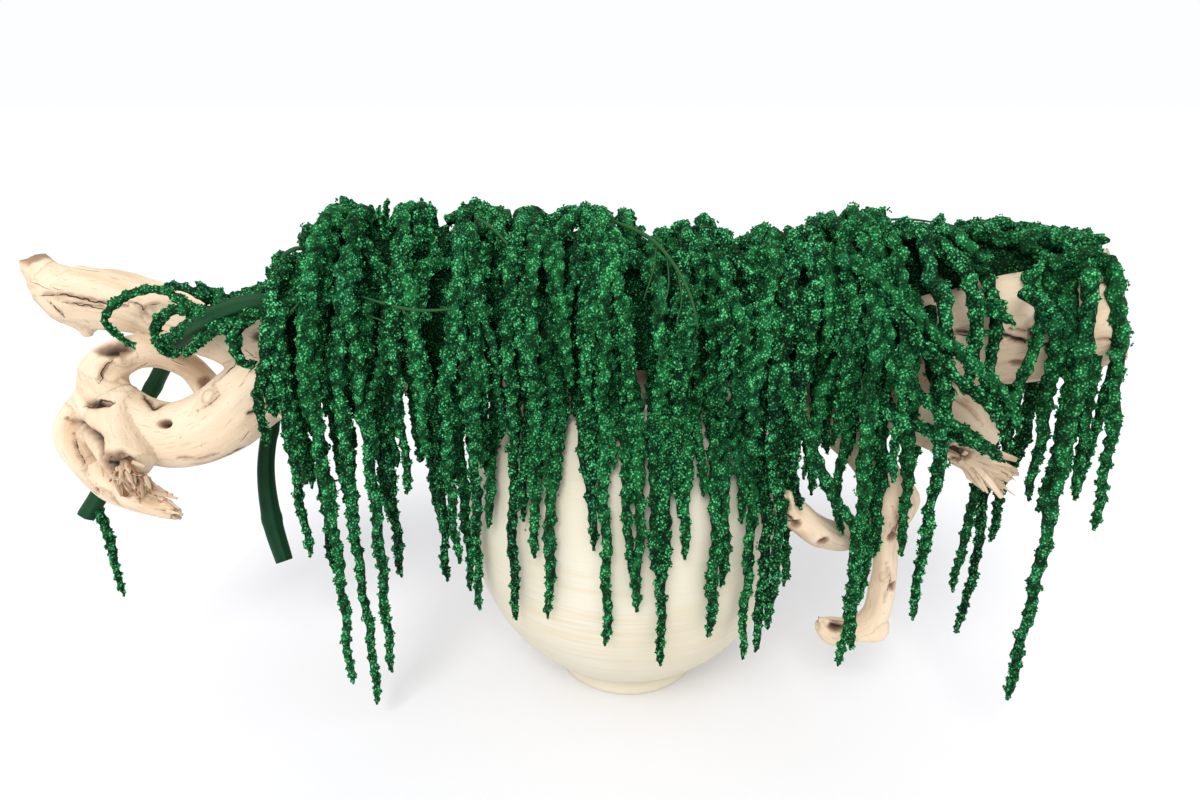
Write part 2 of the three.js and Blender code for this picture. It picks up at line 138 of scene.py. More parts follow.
# The sprays, left to right. Each covers the wood over its span, as far round as its wrap. Each front or
# back tassel is (x at its root, height of its tip, layer, x at its tip where that is another).
SPRAYS = {
    "spray_1": {
        "span": (-306, -190),
        "front": [
            (-288, 239, 0), (-282, 262, 1), (-284, 190, 2), (-280, 290, 0), (-271, 160, 1),
            (-262, 48, 2), (-262, 250, 0), (-250, 206, 1), (-243, 21, 2), (-244, 300, 0),
            (-232, 262, 1), (-225, 58, 2), (-226, 225, 0), (-214, 150, 1), (-206, 285, 0),
            (-197, 245, 2),
        ],
        "back": [(-292, 190, 1), (-264, 130, 2), (-236, 240, 0), (-210, 200, 2)],
    },
    "spray_2": {
        "span": (-188, -116),
        "front": [
            (-180, 185, 0), (-176, 275, 2), (-171, 142, 1), (-162, 240, 0), (-158, 172, 2),
            (-152, 133, 1), (-144, 262, 0), (-139, 122, 2), (-132, 255, 1), (-124, 215, 0),
        ],
        "back": [(-176, 240, 2), (-152, 150, 0), (-128, 215, 2)],
    },
    "spray_3": {
        "span": (-114, -54),
        "front": [
            (-106, 139, 1, -102), (-104, 275, 2), (-98, 235, 0, -94), (-87, 208, 2, -84),
            (-86, 292, 1), (-79, 255, 0), (-71, 155, 1, -72), (-62, 270, 0),
        ],
        "back": [(-106, 230, 2), (-84, 180, 0), (-66, 250, 2)],
    },
    "spray_4": {
        "span": (-52, 8),
        "front": [
            (-45, 277, 0), (-40, 290, 2), (-36, 225, 1), (-26, 137, 2, -25), (-24, 262, 0),
            (-16, 285, 1), (-7, 208, 0), (-4, 262, 2), (1, 172, 1),
        ],
        "back": [(-40, 240, 1), (-12, 170, 2)],
    },
    "spray_5": {
        "span": (10, 58),
        "front": [
            (17, 205, 0), (21, 285, 2), (26, 116, 1, 23), (36, 250, 2), (34, 275, 0), (44, 217, 1, 40),
            (51, 285, 0),
        ],
        "back": [(20, 200, 2), (48, 150, 1)],
    },
    "spray_6": {
        "span": (60, 145),
        "front": [
            (68, 137, 1, 65), (74, 290, 2), (78, 186, 0, 73), (88, 235, 1), (96, 250, 0), (98, 100, 2),
            (108, 112, 1), (116, 140, 2), (114, 262, 0), (126, 200, 1), (133, 265, 2), (137, 150, 0),
        ],
        "back": [(74, 230, 2), (100, 160, 1), (124, 230, 2)],
    },
    "spray_7": {
        "span": (147, 206),
        "front": [
            (154, 244, 1), (157, 290, 0), (164, 300, 2), (171, 225, 1, 176), (178, 285, 0, 184),
            (182, 86, 2, 189), (188, 150, 1, 198), (197, 197, 0, 208), (199, 275, 2, 208),
        ],
        "back": [(156, 250, 2), (188, 190, 1)],
    },
    "spray_8": {
        "span": (208, 306),
        "wrap": 1.2,
        "front": [
            (215, 200, 1, 226), (224, 150, 2, 238), (232, 262, 0, 250), (240, 181, 1, 268),
            (250, 138, 2, 278), (260, 228, 0, 288), (268, 290, 1, 296), (288, 298, 0, 300),
        ],
        "back": [(220, 210, 1), (252, 260, 0), (284, 230, 1)],
    },
    "spray_9": {
        "span": (312, 366),
        "wrap": 0.8,
        "front": [(318, 262, 0), (334, 75, 1, 330), (350, 279, 0, 346), (352, 240, 1, 370)],
        "back": [(320, 230, 0), (340, 205, 1), (342, 250, 0, 352)],
    },
}

# Tassels that lie apart from the rest: over the prong's root, across the right branch, on the log's front
LOOSE = {
    "spray_1": [
        [(-268, -30, 440), (-298, -44, 424), (-330, -62, 406), (-362, -68, 400), (-384, -62, 400)],
        [(-264, -66, 426), (-296, -84, 410), (-328, -88, 396), (-350, -80, 386)],
        [
            (-294, -96, 410), (-316, -101, 399), (-323, -103, 385), (-322, -104, 372),
            (-317, -104, 364), (-308, -104, 367),
        ],
        [
            (-258, -56, 436), (-274, -84, 420), (-284, -104, 400), (-283, -112, 370),
            (-281, -114, 330), (-282, -114, 280),
        ],
        [(-280, 4, 432), (-316, 2, 412), (-350, -4, 400), (-374, -2, 394)],
        [(-276, -16, 440), (-300, -22, 424), (-332, -34, 408), (-366, -42, 402)],
        [(-326, -86, 404), (-352, -84, 403), (-378, -78, 388), (-400, -72, 369)],
        [(-316, -92, 398), (-340, -90, 392), (-362, -84, 378), (-380, -80, 362)],
        [(-270, 22, 420), (-300, 30, 398), (-322, 34, 366), (-326, 34, 330), (-328, 36, 290)],
    ],
    "spray_7": [
        [
            (112, -110, 366), (129, -138, 330), (146, -150, 292), (162, -152, 262), (178, -152, 240),
            (182, -152, 206), (186, -152, 160), (189, -151, 118),
        ],
        [
            (176, -96, 446), (194, -124, 420), (211, -148, 396), (240, -160, 370), (269, -167, 346),
            (283, -167, 316),
        ],
        [
            (158, -90, 452), (186, -118, 436), (212, -140, 412), (244, -158, 386), (274, -168, 360),
            (286, -170, 332),
        ],
    ],
    "spray_8": [
        [(180, -112, 408), (201, -140, 370), (233, -152, 341), (264, -154, 319), (288, -150, 304)],
        [(188, -112, 352), (207, -137, 330), (244, -143, 320), (274, -143, 308), (296, -141, 294)],
        [(298, -116, 442), (302, -140, 418), (297, -148, 390), (291, -148, 362), (288, -146, 338)],
        [(270, -108, 438), (273, -131, 412), (271, -138, 384), (269, -139, 354)],
    ],
    "spray_9": [
        [
            (316, -76, 454), (338, -90, 456), (356, -102, 450), (366, -110, 438), (375, -114, 420),
            (380, -116, 389), (381, -116, 356), (380, -116, 321), (377, -116, 285), (376, -116, 246),
        ],
        [
            (320, -68, 452), (346, -84, 454), (362, -96, 444), (371, -104, 424), (374, -106, 392),
            (373, -108, 350), (366, -110, 298),
        ],
        [
            (318, -84, 456), (325, -112, 453), (323, -140, 430), (325, -152, 392), (329, -150, 351),
            (332, -148, 299), (329, -146, 251),
        ],
        [
            (326, -80, 456), (336, -108, 450), (338, -134, 430), (342, -144, 398), (348, -146, 350),
            (352, -146, 307), (354, -146, 267),
        ],
        [
            (255, -30, 454), (277, -36, 460), (307, -44, 461), (336, -54, 460), (360, -66, 457),
            (372, -84, 449),
        ],
        [
            (260, -56, 452), (283, -62, 455), (309, -68, 457), (334, -76, 456), (357, -86, 453),
            (370, -98, 442),
        ],
        [(284, -10, 459), (312, -14, 462), (340, -20, 461), (367, -28, 459), (385, -40, 454)],
        [
            (322, -72, 458), (330, -104, 456), (333, -134, 438), (340, -144, 412), (347, -146, 384),
            (348, -147, 362),
        ],
        [(312, -84, 454), (316, -120, 448), (315, -144, 424), (317, -150, 396), (321, -150, 370)],
    ],
    "curl_prong": [
        [
            (-366, -78, 394), (-384, -76, 382), (-399, -75, 375), (-401, -72, 366), (-392, -70, 362),
            (-384, -72, 368),
        ],
        [(-352, -76, 410), (-366, -74, 418), (-379, -72, 422), (-392, -66, 421)],
        [
            (-360, -76, 402), (-389, -72, 400), (-404, -70, 390), (-406, -70, 379), (-399, -70, 367),
            (-388, -68, 365),
        ],
        [(-350, -70, 406), (-358, -70, 418), (-366, -64, 424)],
    ],
}

# Curled tassels laid round the left prong, and one that hangs under the cut stem
CURLS = {
    "curl_prong": [
        [
            (-344, -86, 400), (-362, -84, 406), (-380, -70, 410), (-403, -52, 414), (-424, -48, 412),
            (-444, -50, 403), (-459, -50, 386), (-450, -42, 366), (-436, -38, 352),
        ],
        [(-362, -84, 406), (-384, -76, 402), (-401, -68, 390), (-410, -64, 374), (-398, -66, 360)],
        [(-344, -86, 400), (-330, -96, 388), (-322, -106, 370), (-310, -108, 364)],
        [(-344, -86, 400), (-340, -78, 412), (-352, -66, 416), (-370, -62, 418)],
    ],
    "curl_stem": [
        [(-517, -38, 203), (-509, -44, 186), (-506, -45, 160), (-507, -46, 132), (-504, -48, 102)],
    ],
}

# How far along the wood the tassels may lie, and the ripples in them
SPAN = (-322, 376)
RIPPLE = {"lift": 0.16, "step": 0.95}


# Seeded draws, the same ones as the solids' tassels are placed by
class Draws:
    def __init__(self, seed):
        self.state = seed

    def __call__(self):
        self.state = (self.state + 0x6D2B79F5) & 0xFFFFFFFF
        t = (self.state ^ (self.state >> 15)) * (1 | self.state) & 0xFFFFFFFF
        t = (t + ((t ^ (t >> 7)) * (61 | t) & 0xFFFFFFFF) & 0xFFFFFFFF) ^ t
        return (t ^ (t >> 14)) / 4294967296


# Node trees written as expressions
class Wire:
    def __init__(self, finish, socket):
        self.finish = finish
        self.socket = socket

    def maths(self, operation, *values):
        sockets = dict(enumerate(values))
        return self.finish.node("ShaderNodeMath", {"operation": operation}, sockets)

    def __add__(self, other):
        return self.maths("ADD", self, other)

    __radd__ = __add__

    def __sub__(self, other):
        return self.maths("SUBTRACT", self, other)

    def __rsub__(self, other):
        return self.maths("SUBTRACT", other, self)

    def __mul__(self, other):
        return self.maths("MULTIPLY", self, other)

    __rmul__ = __mul__

    def clamped(self):
        made = self.maths("ADD", self, 0)
        made.socket.node.use_clamp = True
        return made

    def between(self, low, high):
        settings = {"interpolation_type": "SMOOTHSTEP"}
        sockets = {"Value": self, "From Min": low, "From Max": high}
        return self.finish.node("ShaderNodeMapRange", settings, sockets)


class Finish:
    def __init__(self, name, colour, **constants):
        self.material = bpy.data.materials.new(name)
        self.material.diffuse_color = (*colour, 1)
        self.material.use_nodes = True
        self.tree = self.material.node_tree
        self.shader = self.tree.nodes["Principled BSDF"]
        for name, value in {"Base Color": (*colour, 1), **constants}.items():
            self.shader.inputs[name].default_value = value

    def node(self, kind, settings=(), sockets=(), output=0):
        made = self.tree.nodes.new(kind)
        for name, value in dict(settings).items():
            if name == "stops":
                self.set_stops(made.color_ramp, value)
            else:
                setattr(made, name, value)
        for name, value in dict(sockets).items():
            self.feed(made.inputs[name], value)
        return Wire(self, made.outputs[output])

    def set_stops(self, ramp, stops):
        while len(ramp.elements) < len(stops):
            ramp.elements.new(1)
        for element, (place, colour) in zip(ramp.elements, stops):
            element.position = place
            element.color = (*colour, 1)

    def feed(self, socket, value):
        if isinstance(value, Wire):
            self.tree.links.new(value.socket, socket)
        elif isinstance(value, tuple) and len(value) == 3 and socket.type == "RGBA":
            socket.default_value = (*value, 1)
        else:
            socket.default_value = value

    def drive(self, **wires):
        for name, wire in wires.items():
            self.feed(self.shader.inputs[name.replace("_", " ")], wire)

    def place(self):
        return self.node("ShaderNodeTexCoord", output="Object")

    def attribute(self, name, output="Fac"):
        return self.node("ShaderNodeAttribute", {"attribute_name": name}, output=output)

    def noise(self, scale, detail=2, vector=None, **sockets):
        where = self.place() if vector is None else vector
        values = {"Vector": where, "Scale": scale, "Detail": detail, **sockets}
        return self.node("ShaderNodeTexNoise", (), values)

    def cells(self, scale, output=0):
        sockets = {"Vector": self.place(), "Scale": scale}
        return self.node("ShaderNodeTexVoronoi", {"feature": "F1"}, sockets, output)

    def stretched(self, vector, scale):
        return self.node("ShaderNodeMapping", (), {"Vector": vector, "Scale": scale})

    def ramp(self, factor, *stops):
        return self.node("ShaderNodeValToRGB", {"stops": stops}, {"Fac": factor})

    def mix(self, factor, low, high):
        sockets = {0: factor, 6: low, 7: high}
        return self.node("ShaderNodeMix", {"data_type": "RGBA"}, sockets, output=2)

    def bump(self, height, distance, strength):
        sockets = {"Height": height, "Distance": distance, "Strength": strength}
        return self.node("ShaderNodeBump", (), sockets)


# Curves: arrays of points, spaced evenly, and frames that travel along them without twisting
def unit(vectors):
    return vectors / np.maximum(np.linalg.norm(vectors, axis=-1, keepdims=True), 1e-9)


def limit(value, low, high):
    return min(max(value, low), high)


def around(sides):
    return np.arange(sides) * 2 * math.pi / sides


def blend(t, low, high, before, after):
    return ((high - t) * before + (t - low) * after) / (high - low)


def centripetal(rows, pieces=12):
    points = np.array([row[:3] for row in rows], float)
    extra = np.array([row[3:] for row in rows], float)
    padded = np.vstack([2 * points[0] - points[1], points, 2 * points[-1] - points[-2]])
    knots = np.concatenate([[0], np.cumsum(np.sqrt(np.linalg.norm(np.diff(padded, axis=0), axis=1)))])
    path, sizes = [], []
    for i in range(1, len(padded) - 2):
        t0, t1, t2, t3 = knots[i - 1:i + 3]
        last = i == len(padded) - 3
        for share in np.linspace(0, 1, pieces + 1)[: None if last else -1]:
            t = t1 + (t2 - t1) * share
            a1, a2, a3 = (blend(t, *knots[k:k + 2], *padded[k:k + 2]) for k in range(i - 1, i + 2))
            b1, b2 = blend(t, t0, t2, a1, a2), blend(t, t1, t3, a2, a3)
            path.append(blend(t, t1, t2, b1, b2))
            sizes.append(extra[i - 1] * (1 - share) + extra[i] * share)
    return np.array(path), np.array(sizes)


def lengths(points):
    return np.concatenate([[0], np.cumsum(np.linalg.norm(np.diff(points, axis=0), axis=1))])


def spaced(points, step, *columns):
    along = lengths(points)
    count = max(3, round(along[-1] / step) + 1)
    where = np.linspace(0, along[-1], count)
    pick = lambda values: np.interp(where, along, values)
    moved = np.stack([pick(points[:, k]) for k in range(3)], axis=1)
    return (moved, *[pick(column) for column in columns]) if columns else moved


# A limb's middle and its radius, evenly spaced
def evenly(rows, step):
    path, sizes = centripetal(rows)
    return spaced(path, step, sizes[:, 0])


def frames(points):
    tangents = unit(np.gradient(points, axis=0))
    across = np.array([1.0, 0, 0]) if abs(tangents[0][0]) < 0.8 else np.array([0, 0, 1.0])
    normals = np.empty_like(tangents)
    for i, tangent in enumerate(tangents):
        across = across - tangent * across.dot(tangent)
        across = across / np.linalg.norm(across)
        normals[i] = across
    return tangents, normals, np.cross(tangents, normals)


def at(values, place):
    low = np.clip(np.floor(place).astype(int), 0, len(values) - 2)
    share = (place - low)[:, None]
    return values[low] * (1 - share) + values[low + 1] * share


# Meshes: a shape is vertices in millimetres, triangles, and one or more numbers at each vertex
class Shape:
    def __init__(self, vertices, triangles, smooth=False, **marks):
        self.vertices = np.asarray(vertices, float).reshape(-1, 3)
        self.triangles = np.asarray(triangles, int).reshape(-1, 3)
        self.smooth = np.broadcast_to(smooth, len(self.triangles))
        self.marks = {name: self.at_vertices(values) for name, values in marks.items()}

    def at_vertices(self, values):
        return values if np.ndim(values) == 2 else np.broadcast_to(values, len(self.vertices))


def joined(shapes):
    starts = np.cumsum([0] + [len(shape.vertices) for shape in shapes[:-1]])
    return Shape(
        np.vstack([shape.vertices for shape in shapes]),
        np.vstack([shape.triangles + start for shape, start in zip(shapes, starts)]),
        np.concatenate([shape.smooth for shape in shapes]),
        **{mark: np.concatenate([shape.marks[mark] for shape in shapes]) for mark in shapes[0].marks},
    )


def make(name, shape, finish, nodes=()):
    mesh = bpy.data.meshes.new(name)
    count = len(shape.triangles)
    mesh.vertices.add(len(shape.vertices))
    mesh.vertices.foreach_set("co", (shape.vertices * MM).ravel())
    mesh.loops.add(count * 3)
    mesh.loops.foreach_set("vertex_index", shape.triangles.ravel())
    mesh.polygons.add(count)
    mesh.polygons.foreach_set("loop_start", np.arange(0, count * 3, 3))
    mesh.update(calc_edges=True)
    mesh.polygons.foreach_set("use_smooth", np.array(shape.smooth))
    for mark, values in shape.marks.items():
        kind, field = ("FLOAT_VECTOR", "vector") if np.ndim(values) == 2 else ("FLOAT", "value")
        mesh.attributes.new(mark, kind, "POINT").data.foreach_set(field, np.ravel(values))
    mesh.materials.append(finish.material)
    piece = bpy.data.objects.new(name, mesh)
    bpy.context.scene.collection.objects.link(piece)
    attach(piece, "root")
    if nodes:
        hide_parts(*nodes)
    return piece


def ring_triangles(rings, sides):
    i, j = np.meshgrid(np.arange(rings - 1), np.arange(sides), indexing="ij")
    a, b = i * sides + j, i * sides + (j + 1) % sides
    quads = np.stack([a, b, b + sides, a + sides], axis=-1).reshape(-1, 4)
    return np.vstack([quads[:, [0, 1, 2]], quads[:, [0, 2, 3]]])


# A closed skin over rings of points, with a point in the middle of each end
def closed(rings, middles, smooth=False, **marks):
    count, sides = rings.shape[:2]
    vertices = np.vstack([rings.reshape(-1, 3), middles[:1], middles[-1:]])
    last, start = (count - 1) * sides, count * sides
    j = np.arange(sides)
    first_cap = np.stack([np.full(sides, start), (j + 1) % sides, j], axis=1)
    last_cap = np.stack([np.full(sides, start + 1), last + j, last + (j + 1) % sides], axis=1)
    triangles = np.vstack([ring_triangles(count, sides), first_cap, last_cap])
    return Shape(vertices, triangles, smooth, **marks)


# A closed tube whose radius is given at each ring, or at each side of each ring
def tube(points, radii, sides, smooth=False, **marks):
    _, normals, binormals = frames(points)
    angles = around(sides)[:, None]
    ways = normals[:, None] * np.cos(angles) + binormals[:, None] * np.sin(angles)
    radii = np.broadcast_to(np.reshape(radii, (len(points), -1)), (len(points), sides))
    return closed(points[:, None] + ways * radii[..., None], points, smooth, **marks)


# Smooth noise at points, from -1 to 1, made of random numbers at the corners of a grid
CORNER_PRIMES = np.array([73856093, 19349663, 83492791], np.uint64)
SEED_PRIME = 2654435761
MIXERS = np.array([0x9E3779B97F4A7C15, 0xBF58476D1CE4E5B9], np.uint64)


def noise_at(points, size, seed=0):
    scaled = points / np.asarray(size, float)
    cell = np.floor(scaled).astype(np.int64)
    share = scaled - cell
    ease = share * share * (3 - 2 * share)
    total = np.zeros(len(points))
    for corner in np.ndindex(2, 2, 2):
        spot = (cell + corner).astype(np.uint64) * CORNER_PRIMES
        mixed = (spot[:, 0] ^ spot[:, 1] ^ spot[:, 2]) + np.uint64(seed * SEED_PRIME)
        mixed = mixed * MIXERS[0]
        mixed = (mixed ^ (mixed >> np.uint64(29))) * MIXERS[1]
        value = (mixed >> np.uint64(40)).astype(float) / 2**23 - 1
        weights = np.where(np.array(corner) == 1, ease, 1 - ease).prod(axis=1)
        total += value * weights
    return total


def layered_noise(points, size, layers, seed=0):
    size = np.asarray(size, float)
    return sum(noise_at(points, size / 2**k, seed + k) / 2**k for k in range(layers))


# The wood's middle and radius at an x along the trunk, and a point over it, at an angle from top to front
def trunk_at(x):
    if x >= TRUNK[0][0]:
        return TRUNK[0][1:]
    if x <= TRUNK[-1][0]:
        return TRUNK[-1][1:]
    i = next(k for k, row in enumerate(TRUNK) if row[0] <= x) - 1
    share = (TRUNK[i][0] - x) / (TRUNK[i][0] - TRUNK[i + 1][0])
    return tuple(a + (b - a) * share for a, b in zip(TRUNK[i][1:], TRUNK[i + 1][1:]))


def crest_at(x):
    return float(np.interp(x, *zip(*CREST))) - CREST_INSET


def over_trunk(x, angle, layer):
    y, z, r = trunk_at(x)
    lift = FIRST_LIFT + (max(crest_at(x) - z - r, FIRST_LIFT) - FIRST_LIFT) * (layer / 2)
    spread = FIRST_LIFT + SPREAD * (layer / 2) - max(x - SLANT["from"], 0) * SLANT["rate"] * (angle > 0)
    return np.array([x, y - (r + spread) * math.sin(angle), z + (r + lift) * math.cos(angle)])


def vase_radius(z, clear=0):
    curve = LOWER if z < BELLY_HEIGHT else UPPER
    share = min(abs(z - BELLY_HEIGHT) / (curve["height"] + clear), 1)
    return (BELLY_RADIUS + clear) * (1 - share ** curve["power"]) ** (1 / curve["power"])


def near_limb(point, rows, clear):
    for low, high in zip(rows, rows[1:]):
        start, end = np.array(low[:3]), np.array(high[:3])
        along = end - start
        share = limit((point - start).dot(along) / along.dot(along), 0, 1)
        if np.linalg.norm(point - start - along * share) < low[3] + (high[3] - low[3]) * share + clear:
            return True
    return False


OBSTACLES = [LIMBS[name] for name in ("branch", "hook", "twig")]


def clearance(point, turn):
    before = point[1]
    reach = vase_radius(point[2], TASSEL_RADIUS + VASE_CLEARANCE)
    if math.hypot(point[0], point[1]) < reach:
        point[1] = -turn * math.sqrt(max(reach**2 - point[0] ** 2, point[1] ** 2))
    while any(near_limb(point, rows, TASSEL_RADIUS + LIMB_CLEARANCE) for rows in OBSTACLES):
        point[1] -= turn * PUSH
    return (before - point[1]) * turn


def rounded(value):
    return math.floor(value + 0.5)


def smoothstep(value, low, high):
    share = limit((value - low) / (high - low), 0, 1)
    return share * share * (3 - 2 * share)


# A tassel's path: out of the mat over the wood, then straight down, pushed out by the vase and the lower
# branches. It comes to its place over the wood from `reach` to one side, and wanders as it hangs.
def drape_path(row, wrap, turn, draw, reach=0, wander=0, start=None, lean=0):
    x, tip, layer = row[:3]
    to = row[3] if len(row) > 3 else x
    own_start = turn * (min(LAYER_START[layer], wrap - WRAP_EDGE) + START_SPREAD * draw())
    start = own_start if start is None else start
    wave = draw() * 2 * math.pi
    sway = 1 + 1.2 * draw()
    end = turn * math.pi / 2
    root, side = over_trunk(x, start, layer), over_trunk(x, end, layer)
    arc = rounded(np.linalg.norm(side - root) * SLACK / PATH_STEP)
    falls = rounded((side[2] - tip) / PATH_STEP)
    inward = np.array([0, *trunk_at(x)[:2]]) - [0, root[1], root[2]]
    points = []
    push = 0
    for i in range(arc + falls + 1):
        easing = smoothstep(i / (arc + falls), 0, SETTLED)
        aside = reach * (1 - smoothstep(i / (arc + 3), 0, 1)) + lean * (1 - i / (arc + falls))
        raised = layer + RIPPLE["lift"] * math.sin(wave * 3 + i * RIPPLE["step"]) * (i <= arc)
        place = limit(x + aside + (to - x) * easing, *SPAN)
        point = over_trunk(place, start + (end - start) * min(i / arc, 1), raised)
        if i > arc:
            point[2] -= (point[2] - tip) * (i - arc) / falls
        point[0] += sway * math.sin(wave + i * WAVE) + wander * math.sin(wave * 5 + i * RIPPLE["step"])
        if i > arc / 2:
            point[1] -= turn * push
            push += clearance(point, turn)
        points.append(point)
    return np.array([points[0] + unit(inward) * ROOT_DEPTH, *points])


# A rope of florets: tight balls of them stand out all round a stem, thinner towards the tip. A whole rope
# may be given more painted shade or more painted light.
GOLDEN_TURN = 2.39996
LUMP = {
    "step": 0.74, "size": 0.62, "offset": 0.4, "reach": 0.8, "fewest": 0.55, "sizes": (0.8, 1.22),
    "turned": 0.5, "leaning": 0.35, "squeeze": 0.8,
}
ROPE = {
    "ring": 3.5, "sides": 9, "core": 0.66, "rise": 0.34, "grain": 0.9, "narrowing": 1.8, "tip": 1.4,
    "thinnest": 0.08, "parts": 200, "uneven": 0.12, "uneven_step": 26,
}
# The core's tone, as painted light: low between the lumps as painted shade, higher up on them, with a
# random grain, and at the ends
CORE_TONE = {"low": 0.12, "lump": 0.4, "grain": 0.25, "end": 0.3}


def rope(points, radius, chance, taper=0.5, painted_light=1.0):
    path = spaced(np.asarray(points, float), ROPE["ring"])
    length = lengths(path)[-1]
    tangents, normals, binormals = frames(path)
    thickness = 1 + ROPE["uneven"] * noise_at(path, ROPE["uneven_step"], 5)

    def narrowing(part):
        to_tip = np.clip((1 - part) * length / (ROPE["tip"] * radius), ROPE["thinnest"], 1)
        return radius * (1 - taper * part ** ROPE["narrowing"]) * np.sqrt(to_tip)

    steps = np.linspace(0, 1, ROPE["parts"])
    crowd = np.cumsum(1 / np.maximum(narrowing(steps), LUMP["fewest"] * radius))
    lumps = max(4, int(crowd[-1] * length / len(steps) / LUMP["step"]))
    share = np.interp((np.arange(lumps) + chance.random(lumps)) / lumps * crowd[-1], crowd, steps)
    place = share * (len(path) - 1)
    size = narrowing(share) * chance.uniform(*LUMP["sizes"], lumps)
    size *= np.interp(place, np.arange(len(path)), thickness)
    turn = np.arange(lumps) * GOLDEN_TURN + chance.normal(0, LUMP["turned"], lumps)
    outward = at(normals, place) * np.cos(turn)[:, None] + at(binormals, place) * np.sin(turn)[:, None]
    centres = at(path, place) + outward * (size * LUMP["offset"])[:, None]
    leaning = unit(outward + at(tangents, place) * chance.normal(0, LUMP["leaning"], lumps)[:, None])
    hue = chance.random()
    florets = floret_balls(centres, leaning, size * LUMP["size"], chance, hue, painted_light)

    own = (narrowing(np.linspace(0, 1, len(path))) * thickness)[:, None]
    apart = (np.arange(len(path))[:, None] - place[None]) * ROPE["ring"]
    aside = np.angle(np.exp(1j * (around(ROPE["sides"])[:, None] - turn[None])))
    distance = np.hypot(apart[:, None], aside[None] * own[..., None] * LUMP["squeeze"]) / size
    swelling = np.sqrt(np.clip(1 - (distance / LUMP["reach"]) ** 2, 0, 1)).max(axis=2)
    grain = chance.random(swelling.shape) - 0.5
    radii = own * (ROPE["core"] + ROPE["rise"] * swelling) + ROPE["grain"] * grain
    # Painted light on the lumps' tops and painted shade between them, with a random grain
    tone = CORE_TONE["low"] + CORE_TONE["lump"] * swelling + CORE_TONE["grain"] * grain
    tone = np.append(tone.ravel(), [CORE_TONE["end"]] * 2) * painted_light
    return [florets, tube(path, radii, ROPE["sides"], True, tone=tone, tint=hue)]


# Whether florets at points show: the ones that face the wood close by are left out
SIGHT = {"facing": -0.3, "close": 50}


def in_sight(points, ways):
    rows = np.array(TRUNK[::-1], float)
    y, z, r = (np.interp(points[:, 0], rows[:, 0], rows[:, k]) for k in (1, 2, 3))
    off = np.stack([np.zeros(len(points)), points[:, 1] - y, points[:, 2] - z], axis=1)
    outward = (unit(off) * ways).sum(axis=1) > SIGHT["facing"]
    return outward | (np.linalg.norm(off, axis=1) > r + SIGHT["close"]) | (off[:, 2] < -r)


# Florets as three-sided points that stand on balls. tone runs from their roots to their tips: painted shade
# at the roots, painted light at the tips, varied at random.
FLORET = {
    "per_ball": 10, "base": 1.35, "height": 1.75, "sunk": 0.6, "tilt": 1.1, "stray": 0.25,
    "sizes": (0.7, 1.3), "root_tone": (0.1, 0.45), "tip_tone": (0.3, 0.75), "rope_hue": 0.6,
}


def floret_balls(centres, outward, size, chance, hue=0.5, painted_light=1.0):
    balls, count = len(centres), FLORET["per_ball"]
    ways = unit(outward[:, None] + unit(chance.normal(size=(balls, count, 3))) * FLORET["tilt"])
    foot = (centres[:, None] + ways * size[:, None, None]).reshape(-1, 3)
    ways = unit(ways.reshape(-1, 3) + chance.normal(0, FLORET["stray"], (balls * count, 3)))
    across = unit(np.cross(ways, chance.normal(size=ways.shape)))
    other = np.cross(ways, across)
    scale = chance.uniform(*FLORET["sizes"], len(foot))[:, None]
    shown = in_sight(foot, ways)
    foot, ways, across, other, scale = (values[shown] for values in (foot, ways, across, other, scale))
    low = foot - ways * FLORET["sunk"] * scale
    spokes = [across * math.cos(angle) + other * math.sin(angle) for angle in around(3)]
    corners = [low + spoke * FLORET["base"] * scale for spoke in spokes]
    apex = foot + ways * (FLORET["height"] - FLORET["sunk"]) * scale
    vertices = np.stack([*corners, apex], axis=1).reshape(-1, 3)
    first = np.arange(len(foot))[:, None] * 4
    triangles = np.concatenate([first + [0, 1, 3], first + [1, 2, 3], first + [2, 0, 3]])
    # Painted shade at each floret's root, painted light at its tip
    roots = chance.uniform(*FLORET["root_tone"], len(foot))
    tips = roots + chance.uniform(*FLORET["tip_tone"], len(foot))
    tone = np.stack([roots, roots, roots, tips], axis=1).ravel() * painted_light
    hues = FLORET["rope_hue"] * hue + (1 - FLORET["rope_hue"]) * chance.random(len(foot))
    return Shape(vertices, triangles, tone=tone, tint=np.repeat(hues, 4))


# The matted tops of a spray: a knobbly core over the wood, with florets all over it. Core and florets get
# painted shade, as they lie deep in the mass.
MAT = {
    "below_crest": 12, "least": 9, "spread": 20, "under": 0.75, "inset": 3, "overlap": 7, "on_log": 0.4,
    "ring": 7, "sides": 36, "bumps": 3, "bump_step": 16, "core_tone": 0.06, "core_tint": 0.4,
    "area": 60, "balls": (3, 4.6), "balls_sunk": 1.5, "painted_light": 0.55,
}


